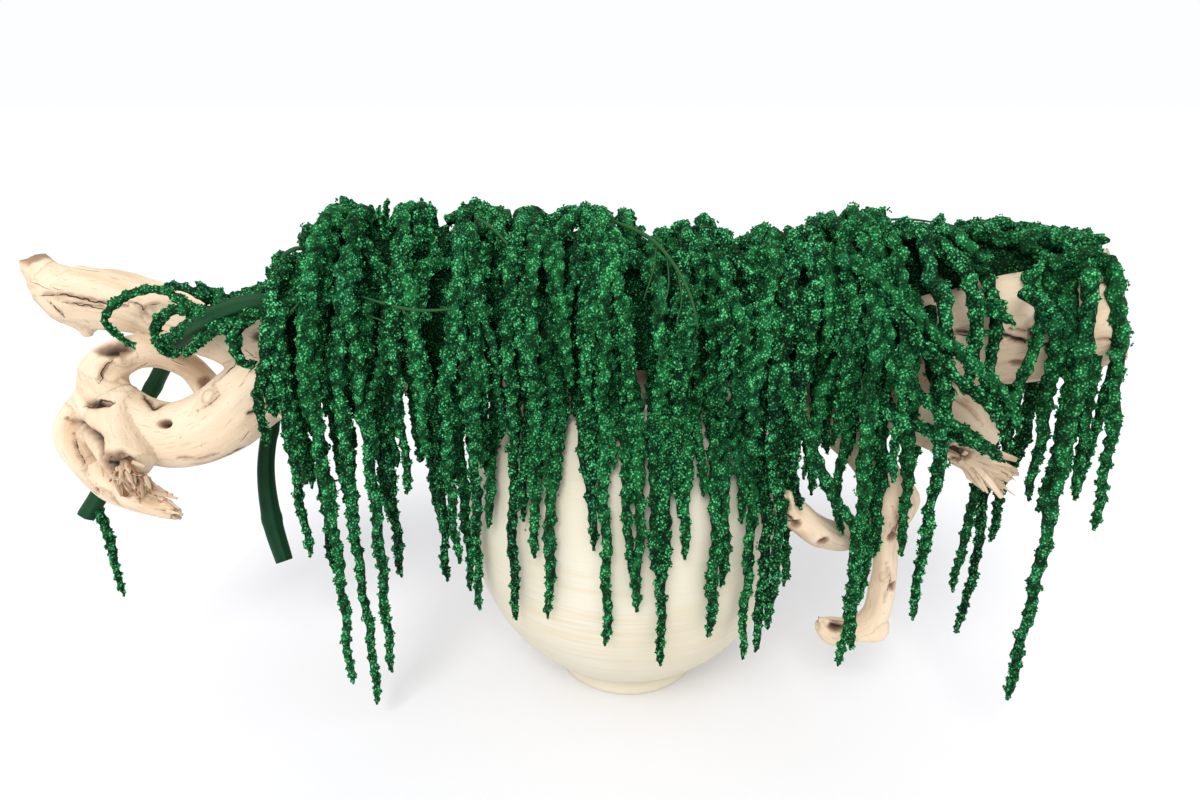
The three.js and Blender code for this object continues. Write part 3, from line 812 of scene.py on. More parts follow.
def mat(span, wrap, chance):
    count = max(4, round((span[1] - span[0]) / MAT["ring"]))
    xs = np.linspace(span[0] - MAT["overlap"], min(span[1] + MAT["overlap"], SLANT["mat_end"]), count)
    angles = np.linspace(-math.pi, math.pi, MAT["sides"] + 1)[:-1]
    covered = np.abs(angles) < wrap
    points, radii = [], []
    for x in xs:
        y, z, r = trunk_at(x)
        rise = r + max(crest_at(x) - MAT["below_crest"] - z - r, MAT["least"]) - MAT["inset"]
        wide = r + MAT["spread"] * wrap / FULL_WRAP - MAT["inset"]
        ring = 1 / np.hypot(np.cos(angles) / rise, np.sin(angles) / wide)
        radii.append(np.where(np.abs(angles) > wrap, r * MAT["under"], ring))
        points.append((x, y, z))
    points, radii = np.array(points), np.array(radii)
    ways = np.stack([0 * angles, -np.sin(angles), np.cos(angles)], axis=1)
    rings = points[:, None] + ways[None] * radii[..., None]
    bumps = layered_noise(rings.reshape(-1, 3), MAT["bump_step"], 2, 7) * MAT["bumps"]
    rings += ways[None] * (bumps.reshape(radii.shape) * covered)[..., None]
    core = closed(rings, points, tone=MAT["core_tone"], tint=MAT["core_tint"])

    area = (span[1] - span[0]) * 2 * wrap * float(np.mean(radii[:, covered]))
    balls = int(area / MAT["area"])
    places, turns = chance.uniform(0, count - 1, balls), chance.uniform(-wrap, wrap, balls)
    near = at(radii, places)
    reach = np.array([np.interp(turn, angles, row) for turn, row in zip(turns, near)]) - MAT["balls_sunk"]
    outward = np.stack([0 * turns, -np.sin(turns), np.cos(turns)], axis=1)
    centres = at(points, places) + outward * reach[:, None]
    sizes = chance.uniform(*MAT["balls"], balls)
    return [floret_balls(centres, outward, sizes, chance, painted_light=MAT["painted_light"]), core]


# A tassel that lies over the mat: it runs along the wood, then turns down over its front or back
LAID = {"points": 21, "ease": 1.6, "ripple": 0.3}


def lying_path(x, run, start, end, layer, draw):
    wave, sway = draw() * 2 * math.pi, 2 + 4 * draw()
    points = []
    for share in np.linspace(0, 1, LAID["points"]):
        angle = start + (end - start) * share ** LAID["ease"]
        lift = layer + LAID["ripple"] * math.sin(wave + share * 7)
        place = x + run * (1 - (1 - share) ** LAID["ease"]) + sway * math.sin(wave * 2 + share * 6)
        points.append(over_trunk(limit(place, *SPAN), angle, lift))
    return np.array(points)


# A short side tassel that stands out of the mass
SPRIG = {"apart": 11, "points": 5, "root": 1.2, "top": 2.26, "lean": 36, "bend": 0.7, "middle": 0.45}
THIN_SPRIG = {"top": 2.36, "lean": 26}


def sprig_path(x, angle, lean, bend, top):
    layers = np.linspace(SPRIG["root"], top, SPRIG["points"])
    last = len(layers) - 1
    places = [(x + lean * i / last, angle + bend * i / last, layer) for i, layer in enumerate(layers)]
    return np.array([over_trunk(*place) for place in places])


# Tassels hung from under the log, at (x, height of the tip), in place of the ones rooted beyond an x
HUNG = {
    "spray_8": {
        "from": 236, "y": -88, "top": 362,
        "at": [(302, 136), (313, 88), (324, 189), (333, 258), (339, 267)],
    },
}
HUNG_SWAY = {"points": 14, "aside": 2.5, "wave": 0.03, "depth": 6}
# Shorter tassels between the others, and ones that lie along the ridge. A pair is a least value and how
# much may be added to it.
FILLER = {"front": 10, "back": 19, "slim": 0.95, "tip": (255, 70), "start": (0.3, 0.9), "wander": 2}
LYING = {
    "apart": 7.2, "run": 95, "behind": 0.35, "start": (-0.7, 1.3), "end": (1.1, 0.9), "layer": (1.1, 0.9),
    "short_of_wrap": 0.15, "run_on_log": 0.4, "end_on_log": 0.2,
}
REACH = {"front": 60, "back": 40}
WANDER = 1.2
# How far short of the ends the tassels along the ridge are rooted
ROOTED = 14
# Each kind of rope: (radius, what may be added to it, taper, painted light (below 1, painted shade), what
# each layer adds to it)
# Inner layers and the ropes under the log get painted shade, the sprigs on top painted light
LOOKS = {
    "hanging": (TASSEL_RADIUS + 1.2, 0.9, 0.5, 0.85, 0.12),
    "filling": (TASSEL_RADIUS, 0.8, 0.4, 0.6, 0.12),
    "lying": (TASSEL_RADIUS + 0.8, 1, 0.25, 0.3, 0.44),
    "sprig": (5.8, 1.4, 0.2, 1.2, 0),
    "thin_sprig": (3.4, 1, 0.3, 1.2, 0),
    "by_hand": (TASSEL_RADIUS, 0.8, 0.4, 1, 0),
    "under_log": (TASSEL_RADIUS, 0, 0.45, 0.85, 0),
}


# The ropes of one spray. draw places the tassels that the solids have too, and more places the others.
class Spray:
    def __init__(self, name, rows, seed):
        self.name = name
        self.rows = rows
        self.low, self.high = rows["span"]
        self.width = min(self.high, MASS_ENDS[1] - ROOTED) - self.low
        self.wrap = rows.get("wrap", FULL_WRAP)
        self.full = self.wrap == FULL_WRAP
        self.draw, self.more = Draws(seed), Draws(seed * 7)
        self.chance = np.random.default_rng(seed)
        mat_wrap = self.wrap if self.full else self.wrap * MAT["on_log"]
        self.shapes = mat(rows["span"], mat_wrap, self.chance)
        for side, turn in ("front", 1), ("back", -1):
            self.hang(side, turn)
            self.fill(side, turn)
        self.lay()
        self.stand()
        self.follow()

    def pick(self, least, added):
        return least + added * self.more()

    def either_way(self):
        return self.more() - 0.5

    def add(self, path, look, layer=0, slim=1, shown=True):
        least, added, taper, painted_light, by_layer = LOOKS[look]
        radius = (self.pick(least, added) if added else least) * slim
        if shown:
            self.shapes += rope(path, radius, self.chance, taper, painted_light + by_layer * layer)

    def hang(self, side, turn):
        for row in self.rows[side]:
            reach = self.either_way() * REACH[side] * (row[2] > 0) if len(row) < 4 else 0
            lean = SLANT["lean"] * (SLANT["from"] < row[0] < SLANT["lean_to"] and turn > 0)
            path = drape_path(row, self.wrap, turn, self.draw, reach, WANDER, lean=lean)
            shown = self.name not in HUNG or turn < 0 or row[0] < HUNG[self.name]["from"]
            self.add(path, "hanging", row[2], shown=shown)

    def fill(self, side, turn):
        count = int((self.high - self.low) / FILLER[side]) if self.full else 0
        for i in range(count):
            x = self.low + (self.high - self.low) * (i + self.more()) / count
            row = (x, self.pick(*FILLER["tip"]), int(self.more() * 3))
            start = turn * self.pick(*FILLER["start"])
            reach = self.either_way() * REACH[side]
            path = drape_path(row, self.wrap, turn, self.more, reach, FILLER["wander"], start)
            self.add(path, "filling", row[2], FILLER["slim"])

    def lay(self):
        for _ in range(int((self.high - self.low) / LYING["apart"])):
            x = self.low + self.width * self.more()
            run = self.either_way() * 2 * LYING["run"] * (1 if self.full else LYING["run_on_log"])
            run = limit(run, MASS_ENDS[0] - x, MASS_ENDS[1] - x)
            turn = -1 if self.more() < LYING["behind"] else 1
            start = turn * self.pick(*LYING["start"])
            lowest = max(self.wrap - LYING["short_of_wrap"], 0.2) if self.full else LYING["end_on_log"]
            end = turn * min(self.pick(*LYING["end"]), lowest)
            layer = self.pick(*LYING["layer"])
            self.add(lying_path(x, run, start, end, layer, self.more), "lying", layer)

    # Short tassels that stand out, each with a thin one beside it
    def stand(self):
        for _ in range(int((self.high - self.low) / SPRIG["apart"])):
            x = self.low + self.width * self.more()
            angle = (self.more() - SPRIG["middle"]) * 2 * min(self.wrap, 1)
            lean = min(self.either_way() * SPRIG["lean"], MASS_ENDS[1] - x)
            bend = self.either_way() * SPRIG["bend"]
            self.add(sprig_path(x, angle, lean, bend, SPRIG["top"]), "sprig")
            thin_lean = self.either_way() * THIN_SPRIG["lean"]
            thin = sprig_path(x + lean / 2, angle, thin_lean, self.either_way(), THIN_SPRIG["top"])
            self.add(thin, "thin_sprig")

    # Those whose points are listed, then the ones hung from under the log
    def follow(self):
        for row in LOOSE.get(self.name, []):
            self.add(centripetal(row)[0], "by_hand")
        hung = HUNG.get(self.name, {"at": []})
        for x, tip in hung["at"]:
            wave = 6.28 * self.more()
            path = []
            for z in np.linspace(hung["top"], tip, HUNG_SWAY["points"]):
                aside = HUNG_SWAY["aside"] * math.sin(wave + z * HUNG_SWAY["wave"])
                path.append((x + aside, hung["y"] - HUNG_SWAY["depth"] * self.more(), z))
            self.add(path, "under_log")


CURL_RADIUS = TASSEL_RADIUS - 0.8


def curl(name, rows, seed):
    chance = np.random.default_rng(seed)
    paths = [centripetal(row)[0] for row in rows + LOOSE.get(name, [])]
    return [shape for path in paths for shape in rope(path, CURL_RADIUS, chance)]


# Finishes. The florets have painted shade between their tips and painted light on them, and are a little
# bluer in patches. The darkest green is the painted shade, the brightest ones the painted light.
GREENS = {
    "painted_shade": (0.0002, 0.007, 0.002), "leaf": (0.006, 0.096, 0.024), "tip": (0.19, 0.92, 0.37),
    "cool_leaf": (0.006, 0.075, 0.032), "cool_tip": (0.13, 0.66, 0.33), "fresh": (0.03, 0.33, 0.08),
    "stem_deep": (0.001, 0.010, 0.004), "stem": (0.009, 0.070, 0.028),
    "pale_stem": (0.028, 0.13, 0.045), "yellow_stem": (0.05, 0.13, 0.03),
}
# The two darkest woods are for wear with painted shade in grooves and hollows, and for the painted deep
# shade in cracks and deep hollows
WOOD = {
    "tan": (0.54, 0.35, 0.195), "straw": (0.72, 0.54, 0.365), "pale": (0.80, 0.65, 0.485),
    "warm": (0.62, 0.41, 0.235), "cool": (0.78, 0.645, 0.485), "streak": (0.33, 0.18, 0.08),
    "fleck": (0.22, 0.10, 0.04), "sawn": (0.47, 0.40, 0.235), "worn": (0.21, 0.085, 0.028),
    "burnt": (0.03, 0.011, 0.005),
}
CLAY = {
    "pale": (0.70, 0.655, 0.54), "cream": (0.655, 0.60, 0.465), "stain": (0.67, 0.55, 0.345),
    "ring": (0.58, 0.50, 0.35), "speck": (0.10, 0.06, 0.03),
}


def amaranth():
    finish = Finish("amaranth", (0.01, 0.12, 0.035), **{"Roughness": 0.85, "Specular IOR Level": 0.12})
    tone, tint = finish.attribute("tone"), finish.attribute("tint")
    # Cells the size of florets: painted light on their tops and painted shade at their edges, also used as
    # bump
    tops = 1 - finish.cells(430).between(0.1, 0.72)
    fine = finish.noise(900)
    light = (tone * 0.85 + tops * 0.55 + fine * 0.6 - 0.52).clamped()
    pairs = (GREENS["leaf"], GREENS["tip"]), (GREENS["cool_leaf"], GREENS["cool_tip"])
    greens = [finish.ramp(light, (0.0, GREENS["painted_shade"]), (0.38, leaf), (0.9, tip)) for leaf, tip in pairs]
    patchy = finish.mix(finish.noise(24, 3).between(0.5, 0.72) * 0.8, *greens)
    # Lit florets of some ropes turn a fresher green: partly their own hue, partly painted light
    colour = finish.mix((tint * tone * 0.55).clamped(), patchy, GREENS["fresh"])
    finish.drive(Base_Color=colour, Normal=finish.bump(tops + fine * 0.4, 0.0014, 0.8))
    return finish


# Pale wood, streaked along its grain, dark where it is worn, with painted shade in its grooves and hollows
# and painted deep shade in its cracks and deep hollows
def grapewood_finish():
    finish = Finish("grapewood", (0.76, 0.58, 0.41), Roughness=0.72)
    along = finish.stretched(finish.attribute("grain", "Vector"), (1, 1, 0.11))
    streak = finish.noise(480, 4, along, Roughness=0.6)
    broad = finish.noise(70, 3, along, Roughness=0.55)
    patch = finish.noise(13, 3)
    fleck = finish.noise(260, 3)
    layers = [
        (patch.between(0.5, 0.68) * 0.5, "warm"),
        (patch.between(0.32, 0.46) * 0.4, "cool"),
        (streak.between(0.56, 0.72) * 0.4, "streak"),
        (fleck.between(0.68, 0.76) * 0.55, "fleck"),
        (finish.attribute("sawn").between(0.2, 0.6), "sawn"),
        # Wear, partly painted shade; then painted deep shade in cracks and deep hollows
        ((finish.attribute("worn") * 0.95).clamped(), "worn"),
        (finish.attribute("burnt"), "burnt"),
    ]
    colour = finish.ramp(broad, (0.3, WOOD["tan"]), (0.46, WOOD["straw"]), (0.7, WOOD["pale"]))
    for share, kind in layers:
        colour = finish.mix(share, colour, WOOD[kind])
    relief = finish.bump(streak * 0.55 + broad * 0.5 + fleck * 0.3, 0.0018, 0.6)
    finish.drive(Base_Color=colour, Roughness=0.62 + 0.25 * streak, Normal=relief)
    return finish


# Pale stoneware: turned in fine rings, stained yellow in a patchy band, with a few dark specks
def stoneware():
    finish = Finish("stoneware", (0.70, 0.645, 0.49), Roughness=0.6)
    place = finish.place()
    height = finish.node("ShaderNodeSeparateXYZ", (), {0: place}, output=2)
    band = height.between(0.04, 0.1) * (1 - height.between(0.14, 0.25))
    streak = finish.noise(9, 4, finish.stretched(place, (1, 1, 30)), Roughness=0.6)
    ring = finish.noise(26, 4, finish.stretched(place, (0.25, 0.25, 9)), Roughness=0.65)
    stain = (streak.between(0.46, 0.66) * (0.25 + 0.75 * band)).clamped()
    chosen = finish.node("ShaderNodeSeparateColor", (), {0: finish.cells(34, output=1)})
    speck = (1 - finish.cells(34).between(0.03, 0.06)) * chosen.between(0.3, 0.35) * 0.8
    colour = finish.mix(finish.noise(7, 3).between(0.35, 0.65), CLAY["pale"], CLAY["cream"])
    layers = [(stain * 0.55, "stain"), (ring.between(0.58, 0.75) * 0.35, "ring"), (speck, "speck")]
    for share, kind in layers:
        colour = finish.mix(share, colour, CLAY[kind])
    relief = finish.bump(ring * 0.7 + streak * 0.2 + finish.noise(700) * 0.12, 0.0012, 0.4)
    finish.drive(Base_Color=colour, Roughness=0.5 + 0.2 * ring, Normal=relief)
    return finish


# Bare stems: dark green, ribbed; the thin side stems are paler
def stem_finish():
    finish = Finish("stem", (0.008, 0.03, 0.013), **{"Roughness": 0.7, "Specular IOR Level": 0.12})
    mottle = finish.noise(60, 3)
    ribs = (finish.attribute("tone") * 0.7 + mottle * 0.5 - 0.1).clamped()
    dark = finish.mix(ribs, GREENS["stem_deep"], GREENS["stem"])
    pale = finish.mix(mottle.between(0.4, 0.6), GREENS["pale_stem"], GREENS["yellow_stem"])
    colour = finish.mix(finish.attribute("tint"), dark, pale)
    grit = finish.bump(finish.noise(800), 0.0006, 0.4)
    finish.drive(Base_Color=colour, Roughness=0.42 + 0.3 * mottle, Normal=grit)
    return finish


AMARANTH = amaranth()
GRAPEWOOD = grapewood_finish()
STONEWARE = stoneware()
STEM = stem_finish()

for order, (name, rows) in enumerate(SPRAYS.items()):
    florets = joined(Spray(name, rows, FIRST_SEED + order).shapes)
    make(name + "_florets", florets, AMARANTH, [name])
for order, (name, rows) in enumerate(CURLS.items()):
    florets = joined(curl(name, rows, FIRST_SEED + len(SPRAYS) + order))
    make(name + "_florets", florets, AMARANTH, [name])


# Lesser shapes of the wood, as limbs: the prong's lower lobe, the torn jaw, the knob and the burl
LESSER = {
    "lobe": [(-540, 6, 402, 17), (-522, 0, 386, 19), (-508, -4, 371, 11), (-505, -6, 358, 3.5)],
    "stub": [(-536, 4, 408, 17), (-546, 8, 424, 13), (-549, 9, 431, 11)],
    "torn_jaw": [(-474, -82, 262, 12), (-454, -90, 248, 14), (-434, -94, 236, 12), (-412, -96, 226, 6)],
    "knob": [(-462, -36, 345, 13), (-456, -42, 352, 11), (-448, -46, 352, 8)],
    "burl": [(262, -104, 306, 22), (276, -106, 296, 18), (288, -110, 288, 10)],
    "fan": [(268, -111, 294, 13), (288, -113, 285, 12), (304, -115, 276, 9), (317, -117, 267, 4)],
    "heel_of_hook": [(222, -94, 250, 17), (240, -100, 240, 10), (238, -102, 222, 8)],
    "toe_of_hook": [(204, -92, 97, 11), (192, -92, 101, 8), (182, -92, 104, 4), (177, -92, 106, 2)],
    "foot_of_hook": [(214, -92, 92, 11), (232, -94, 96, 11), (228, -95, 116, 9)],
}
# The wood is made in parts, each of some limbs and with its own fineness
PARTS = {
    "roots": (["bend", "arch", "snout", "jaw", "prong", "lobe", "stub", "torn_jaw", "knob"], 2.1),
    "branches": (
        ["branch", "hook", "twig", "burl", "fan", "heel_of_hook", "foot_of_hook", "toe_of_hook"],
        2.1,
    ),
    "log": (["log"], 2.3),
    "trunk": (["stock", "heel"], 6),
}
VINE = {"trunk": TRUNK, **LIMBS, **LESSER}

# Grapewood: the limbs are run together into one skin, which is then given its grain, hollows and cracks
SWELL = {
    "step": 3, "sides": 28, "thick_over": 30, "thick_step": 36, "thin_step": 22, "twofold": 0.05,
    "threefold": 0.04,
}
TRUNK_PIECES = {"log": slice(0, 84), "stock": slice(76, None)}
TRUNK_SIDES = 40


def limb_middle(name):
    path, radius = evenly(VINE.get(name, TRUNK), SWELL["step"])
    piece = TRUNK_PIECES.get(name, slice(None))
    return path[piece], radius[piece]


def limb(name):
    rows = VINE.get(name, TRUNK)
    path, radius = evenly(rows, SWELL["step"])
    sides = TRUNK_SIDES if name in TRUNK_PIECES else SWELL["sides"]
    index = list(VINE).index(name) if name in VINE else 0
    thick = max(row[3] for row in rows) > SWELL["thick_over"]
    step = SWELL["thick_step"] if thick else SWELL["thin_step"]
    ring = np.linspace(0, max(2, round(lengths(path)[-1] / step)), len(path))[:, None]
    angle = around(sides)[None]
    twofold = SWELL["twofold"] * np.sin(2 * angle + ring * 0.9 + index * 1.7)
    threefold = SWELL["threefold"] * np.sin(3 * angle - ring * 1.3 + index * 2.9)
    piece = TRUNK_PIECES.get(name, slice(None))
    return tube(path[piece], (radius[:, None] * (1 + twofold + threefold))[piece], sides)


def skin_over(shapes, voxel):
    whole = joined(shapes)
    mesh = bpy.data.meshes.new("rough")
    mesh.from_pydata((whole.vertices * MM).tolist(), [], whole.triangles.tolist())
    rough = bpy.data.objects.new("rough", mesh)
    bpy.context.scene.collection.objects.link(rough)
    remesh = rough.modifiers.new("skin", "REMESH")
    remesh.mode, remesh.voxel_size = "VOXEL", voxel * MM
    skin = bpy.data.meshes.new_from_object(rough.evaluated_get(bpy.context.evaluated_depsgraph_get()))
    bpy.data.objects.remove(rough)
    skin.calc_loop_triangles()
    vertices = np.empty(len(skin.vertices) * 3)
    triangles = np.empty(len(skin.loop_triangles) * 3, int)
    skin.vertices.foreach_get("co", vertices)
    skin.loop_triangles.foreach_get("vertices", triangles)
    bpy.data.meshes.remove(skin)
    return Shape(vertices.reshape(-1, 3) / MM, triangles)


def normals_of(shape):
    corners = shape.vertices[shape.triangles]
    faces = np.cross(corners[:, 1] - corners[:, 0], corners[:, 2] - corners[:, 0])
    total = np.zeros_like(shape.vertices)
    for k in range(3):
        np.add.at(total, shape.triangles[:, k], faces)
    return unit(total)


# Places in the wood's own terms: two ways across the nearest limb, and the way along it
GRAIN = {"limbs_apart": 977, "batch": 8000}


def grain_of(points, names):
    limbs = [limb_middle(name) for name in names]
    middles, sizes = (np.concatenate(columns) for columns in zip(*limbs))
    tangents, sideways, upward = (np.vstack(ways) for ways in zip(*(frames(path) for path, _ in limbs)))
    starts = np.arange(len(limbs)) * GRAIN["limbs_apart"]
    along = np.concatenate([lengths(path) + start for start, (path, _) in zip(starts, limbs)])
    grain = np.empty_like(points)
    for start in range(0, len(points), GRAIN["batch"]):
        batch = slice(start, start + GRAIN["batch"])
        offset = points[batch][:, None] - middles[None]
        nearest = (np.linalg.norm(offset, axis=2) / sizes[None]).argmin(axis=1)
        own = points[batch] - middles[nearest]
        for axis, ways in enumerate((sideways, upward, tangents)):
            grain[batch, axis] = (own * ways[nearest]).sum(axis=1)
        grain[batch, 2] += along[nearest]
    return grain


# Hollows rotted into the wood: (middle, half sizes, how far it is sunk)
HOLLOWS = [
    ((-456, -48, 359), (15, 9, 7), 9), ((-407, -84, 304), (6.5, 7, 3.4), 9),
    ((-312, -70, 326), (14, 12, 11), 9), ((-466, -97, 244), (4, 6, 4), 7),
    ((-430, -122, 276), (13, 12, 15), 10), ((-398, -24, 322), (8, 8, 9), 4),
    ((302, -138, 402), (5, 7, 4), 7), ((262, -120, 294), (14, 9, 10), 7),
    ((192, -102, 104), (8, 7, 5), 6), ((160, -134, 216), (5, 6, 4), 4),
    ((134, -142, 236), (4, 5, 4), 4), ((207, -108, 235), (5, 6, 4), 4),
    ((237, -110, 155), (4, 5, 5), 4), ((227, -114, 208), (4, 5, 5), 3),
    ((121, -142, 256), (5, 6, 7), 4), ((-549, 6, 439), (14, 13, 7), 1.6),
    ((-325, -58, 376), (4, 4, 4), 3), ((296, -136, 371), (6, 6, 3), 1.5),
    ((352, -148, 424), (4, 5, 5), 1),
]
# Knots, ringed: (middle, radius, how far it stands out)
KNOTS = [
    ((-428, -32, 386), 14, 3.5), ((-319, -73, 350), 11, 2.5), ((303, -136, 404), 17, 4),
    ((160, -130, 216), 10, 2.5), ((207, -104, 235), 10, 2.5), ((-325, -56, 376), 9, 2),
    ((-366, -80, 326), 13, 3), ((229, -104, 165), 9, 2), ((-452, -50, 330), 12, 3),
]
# Cracks along the grain: (width, depth, points)
CRACKS = [
    (1.4, 3, [
        (-540, -14, 398), (-526, -18, 401), (-507, -23, 403), (-492, -24, 399), (-477, -25, 396),
        (-448, -30, 394),
    ]),
    (1.1, 3, [(-514, -23, 397), (-499, -24, 394), (-483, -24, 391), (-467, -26, 389)]),
    (1.1, 3, [(-526, -19, 396), (-518, -21, 388), (-515, -18, 380)]),
    (1.3, 4, [
        (-447, -28, 397), (-437, -30, 395), (-432, -32, 389), (-423, -34, 385), (-413, -35, 388),
    ]),
    (1.1, 3, [(-433, -31, 392), (-427, -29, 395), (-419, -28, 396)]),
    (2.4, 9, [(-474, -80, 318), (-464, -83, 321), (-458, -82, 322), (-448, -80, 321)]),
    (3, 10, [
        (-494, -77, 306), (-486, -78, 302), (-470, -90, 301), (-455, -103, 299), (-447, -112, 292),
        (-449, -114, 282),
    ]),
    (2, 3, [(-436, -56, 319), (-426, -66, 317), (-418, -74, 312), (-411, -58, 313)]),
    (1.1, 2.5, [(-365, -64, 339), (-356, -80, 328), (-366, -82, 320), (-378, -82, 315)]),
    (1.6, 5, [(-320, -69, 357), (-313, -68, 360), (-306, -65, 363)]),
    (1.2, 3, [(-331, -75, 347), (-327, -74, 350), (-321, -72, 355)]),
    (1.5, 4, [(-336, -82, 312), (-326, -77, 314), (-319, -72, 316)]),
    (1.3, 3, [(-458, -53, 351), (-464, -56, 344), (-466, -66, 335)]),
    (1.2, 3, [(-450, -92, 244), (-439, -92, 241), (-425, -94, 233), (-410, -96, 224)]),
    (1.2, 3, [(-466, -98, 254), (-452, -98, 246), (-440, -97, 236), (-428, -97, 228)]),
    (1.2, 3, [(-490, -80, 292), (-482, -88, 274), (-474, -92, 258)]),
    (1.7, 7, [
        (244, -108, 393), (266, -118, 395), (280, -124, 395), (294, -131, 393), (305, -138, 391),
        (316, -142, 395),
    ]),
    (1.2, 4, [(286, -128, 401), (298, -135, 402), (306, -141, 406), (316, -146, 411)]),
    (1.2, 3, [(330, -146, 398), (342, -152, 402), (352, -158, 404)]),
    (1.2, 3, [(322, -138, 440), (334, -142, 444), (346, -146, 446)]),
    (1.4, 4, [(200, -94, 377), (206, -95, 380), (213, -97, 381)]),
    (1.5, 4, [(117, -142, 250), (124, -142, 243), (132, -142, 238)]),
    (1.2, 3, [(240, -100, 350), (262, -108, 336), (284, -116, 316)]),
    (1.4, 3, [(-388, -84, 268), (-374, -82, 267), (-358, -78, 270), (-346, -74, 276)]),
    (1.1, 2, [(-396, -86, 276), (-380, -86, 274), (-364, -84, 278)]),
    (1.0, 2, [(-420, -24, 360), (-404, -24, 352), (-392, -20, 345)]),
    (1.1, 2, [(-344, -62, 366), (-350, -66, 350), (-362, -72, 334)]),
    (1.2, 3, [(222, -114, 240), (228, -118, 226), (226, -116, 210)]),
    (1.1, 2.5, [(226, -108, 180), (232, -108, 160), (230, -106, 138)]),
]
# Sheets of torn fibre: (root, way, spread, length, how many, thickness, splay)
TORN = [
    ((-444, -94, 246), (1, -0.15, -0.34), (14, 3, 6), 32, 34, 3.4, 0.05),
    ((-424, -96, 230), (1, -0.12, -0.4), (7, 3, 6), 24, 30, 3.0, 0.07),
    ((-436, -108, 270), (0.35, -0.45, -0.75), (11, 4, 9), 8, 90, 1.7, 0.5),
    ((-426, -104, 256), (0.5, -0.3, -0.8), (10, 4, 7), 9, 60, 1.8, 0.4),
    ((280, -112, 289), (0.85, -0.12, -0.36), (10, 5, 7), 48, 24, 3.8, 0.07),
    ((280, -112, 282), (0.75, -0.12, -0.85), (8, 5, 6), 42, 18, 3.6, 0.08),
    ((284, -113, 286), (0.8, -0.15, -0.55), (9, 4, 8), 44, 30, 1.5, 0.1),
    ((-314, -74, 316), (0.7, -0.5, -0.4), (8, 4, 4), 12, 14, 2.2, 0.15),
    ((121, -130, 255), (-0.6, -0.4, 0.7), (4, 5, 5), 6, 20, 1.6, 0.15),
]


# The log's sawn end, and the growth rings on it
SAWN = {"way": (0.872, -0.427, 0.242), "from": 470, "facing": 0.75, "ring": 1.1, "relief": 0.25}
# The wood's broad swellings, its ridges and its fibres: (cell of the noise, layers, seed, height)
RELIEF = [(34, 2, 11, 1.3), ((9, 9, 70), 2, 21, 0.7), ((3.2, 3.2, 34), 2, 31, 0.28)]
KNOT = {"fade": 1.2, "rings": 9, "wobble": 1.3, "wobble_step": 9, "ridge": 0.45}
# How deep a hollow and how wide a crack must be for painted deep shade, and how far the wear and painted
# shade reach
HOLLOW = {"ragged": 0.22, "ragged_step": 5, "edge": 1.25, "steep": 1.6, "darkest_depth": 6, "worn": 0.75}
CRACK = {
    "step": 2, "snap_step": 5, "fewest": 3, "wobble": 0.6, "wobble_step": 7, "beside": 8, "wear_and_shade_width": 2.2,
    "worn": 0.5, "darkest_width": 1.4,
}


# The point of a skin nearest to a place, if there is one within reach
def snapped(place, points, reach=20):
    gap = np.linalg.norm(points - place, axis=1)
    return points[gap.argmin()] if gap.min() < reach else None


def found(rows, points):
    for middle, *sizes in rows:
        middle = snapped(middle, points)
        if middle is not None:
            yield middle, *sizes


def faded(distance):
    return np.exp(-np.clip(distance, 0, 9) ** 2)


# Knots, hollows and cracks: how far each moves the skin, its wear with painted shade, and its painted deep
# shade.
def knots(points):
    wobble = KNOT["wobble"] * noise_at(points, KNOT["wobble_step"], 51)
    for middle, radius, rise in found(KNOTS, points):
        reach = np.linalg.norm(points - middle, axis=1) / radius
        near = np.exp(-KNOT["fade"] * reach**2)
        rings = np.sin(KNOT["rings"] * reach + wobble) * near
        # Darker in the grooves between the knot's rings: the rings' own colour and painted shade
        yield rise * near + KNOT["ridge"] * rings, np.clip(-rings * 0.7 - 0.1, 0, 0.45), 0


def hollows(points):
    ragged = 1 + HOLLOW["ragged"] * noise_at(points, HOLLOW["ragged_step"], 61)
    for middle, half, depth in found(HOLLOWS, points):
        reach = np.linalg.norm((points - middle) / half, axis=1) * ragged
        inside = np.clip(HOLLOW["edge"] - reach, 0, 1)
        # Dark inside, as worn wood and painted shade, with painted deep shade in the middle of deep hollows
        burnt = np.clip(inside * 2.2 - 0.5, 0, 1) * min(depth / HOLLOW["darkest_depth"], 1)
        sunk = depth * np.minimum(inside * HOLLOW["steep"], 1) ** 1.5
        yield -sunk, np.clip(inside * 3, 0, 1) * HOLLOW["worn"], burnt


def cracks(points):
    wobble = noise_at(points, CRACK["wobble_step"], 41)
    for width, depth, path in CRACKS:
        line = [snapped(place, points) for place in spaced(np.array(path, float), CRACK["snap_step"])]
        line = [place for place in line if place is not None]
        if len(line) < CRACK["fewest"]:
            continue
        line = spaced(np.array(line), CRACK["step"])
        low, high = line.min(axis=0) - CRACK["beside"], line.max(axis=0) + CRACK["beside"]
        box = np.all((points > low) & (points < high), axis=1)
        gaps = np.linalg.norm(points[box][:, None] - line[None], axis=2)
        share = gaps.argmin(axis=1) / (len(line) - 1)
        ends = np.minimum(np.minimum(share, 1 - share) * 6, 1)
        distance = np.full(len(points), 1e3)
        strayed = gaps.min(axis=1) + wobble[box] * width * CRACK["wobble"]
        distance[box] = strayed / np.maximum(ends, 0.15)
        groove = faded(distance / width)
        # Painted deep shade in a wide crack's groove, and wear with painted shade beside it
        burnt = np.clip(groove * 1.6 - 0.35, 0, 1) * (width > CRACK["darkest_width"])
        yield -depth * groove, faded(distance / (width * CRACK["wear_and_shade_width"])) * CRACK["worn"], burnt


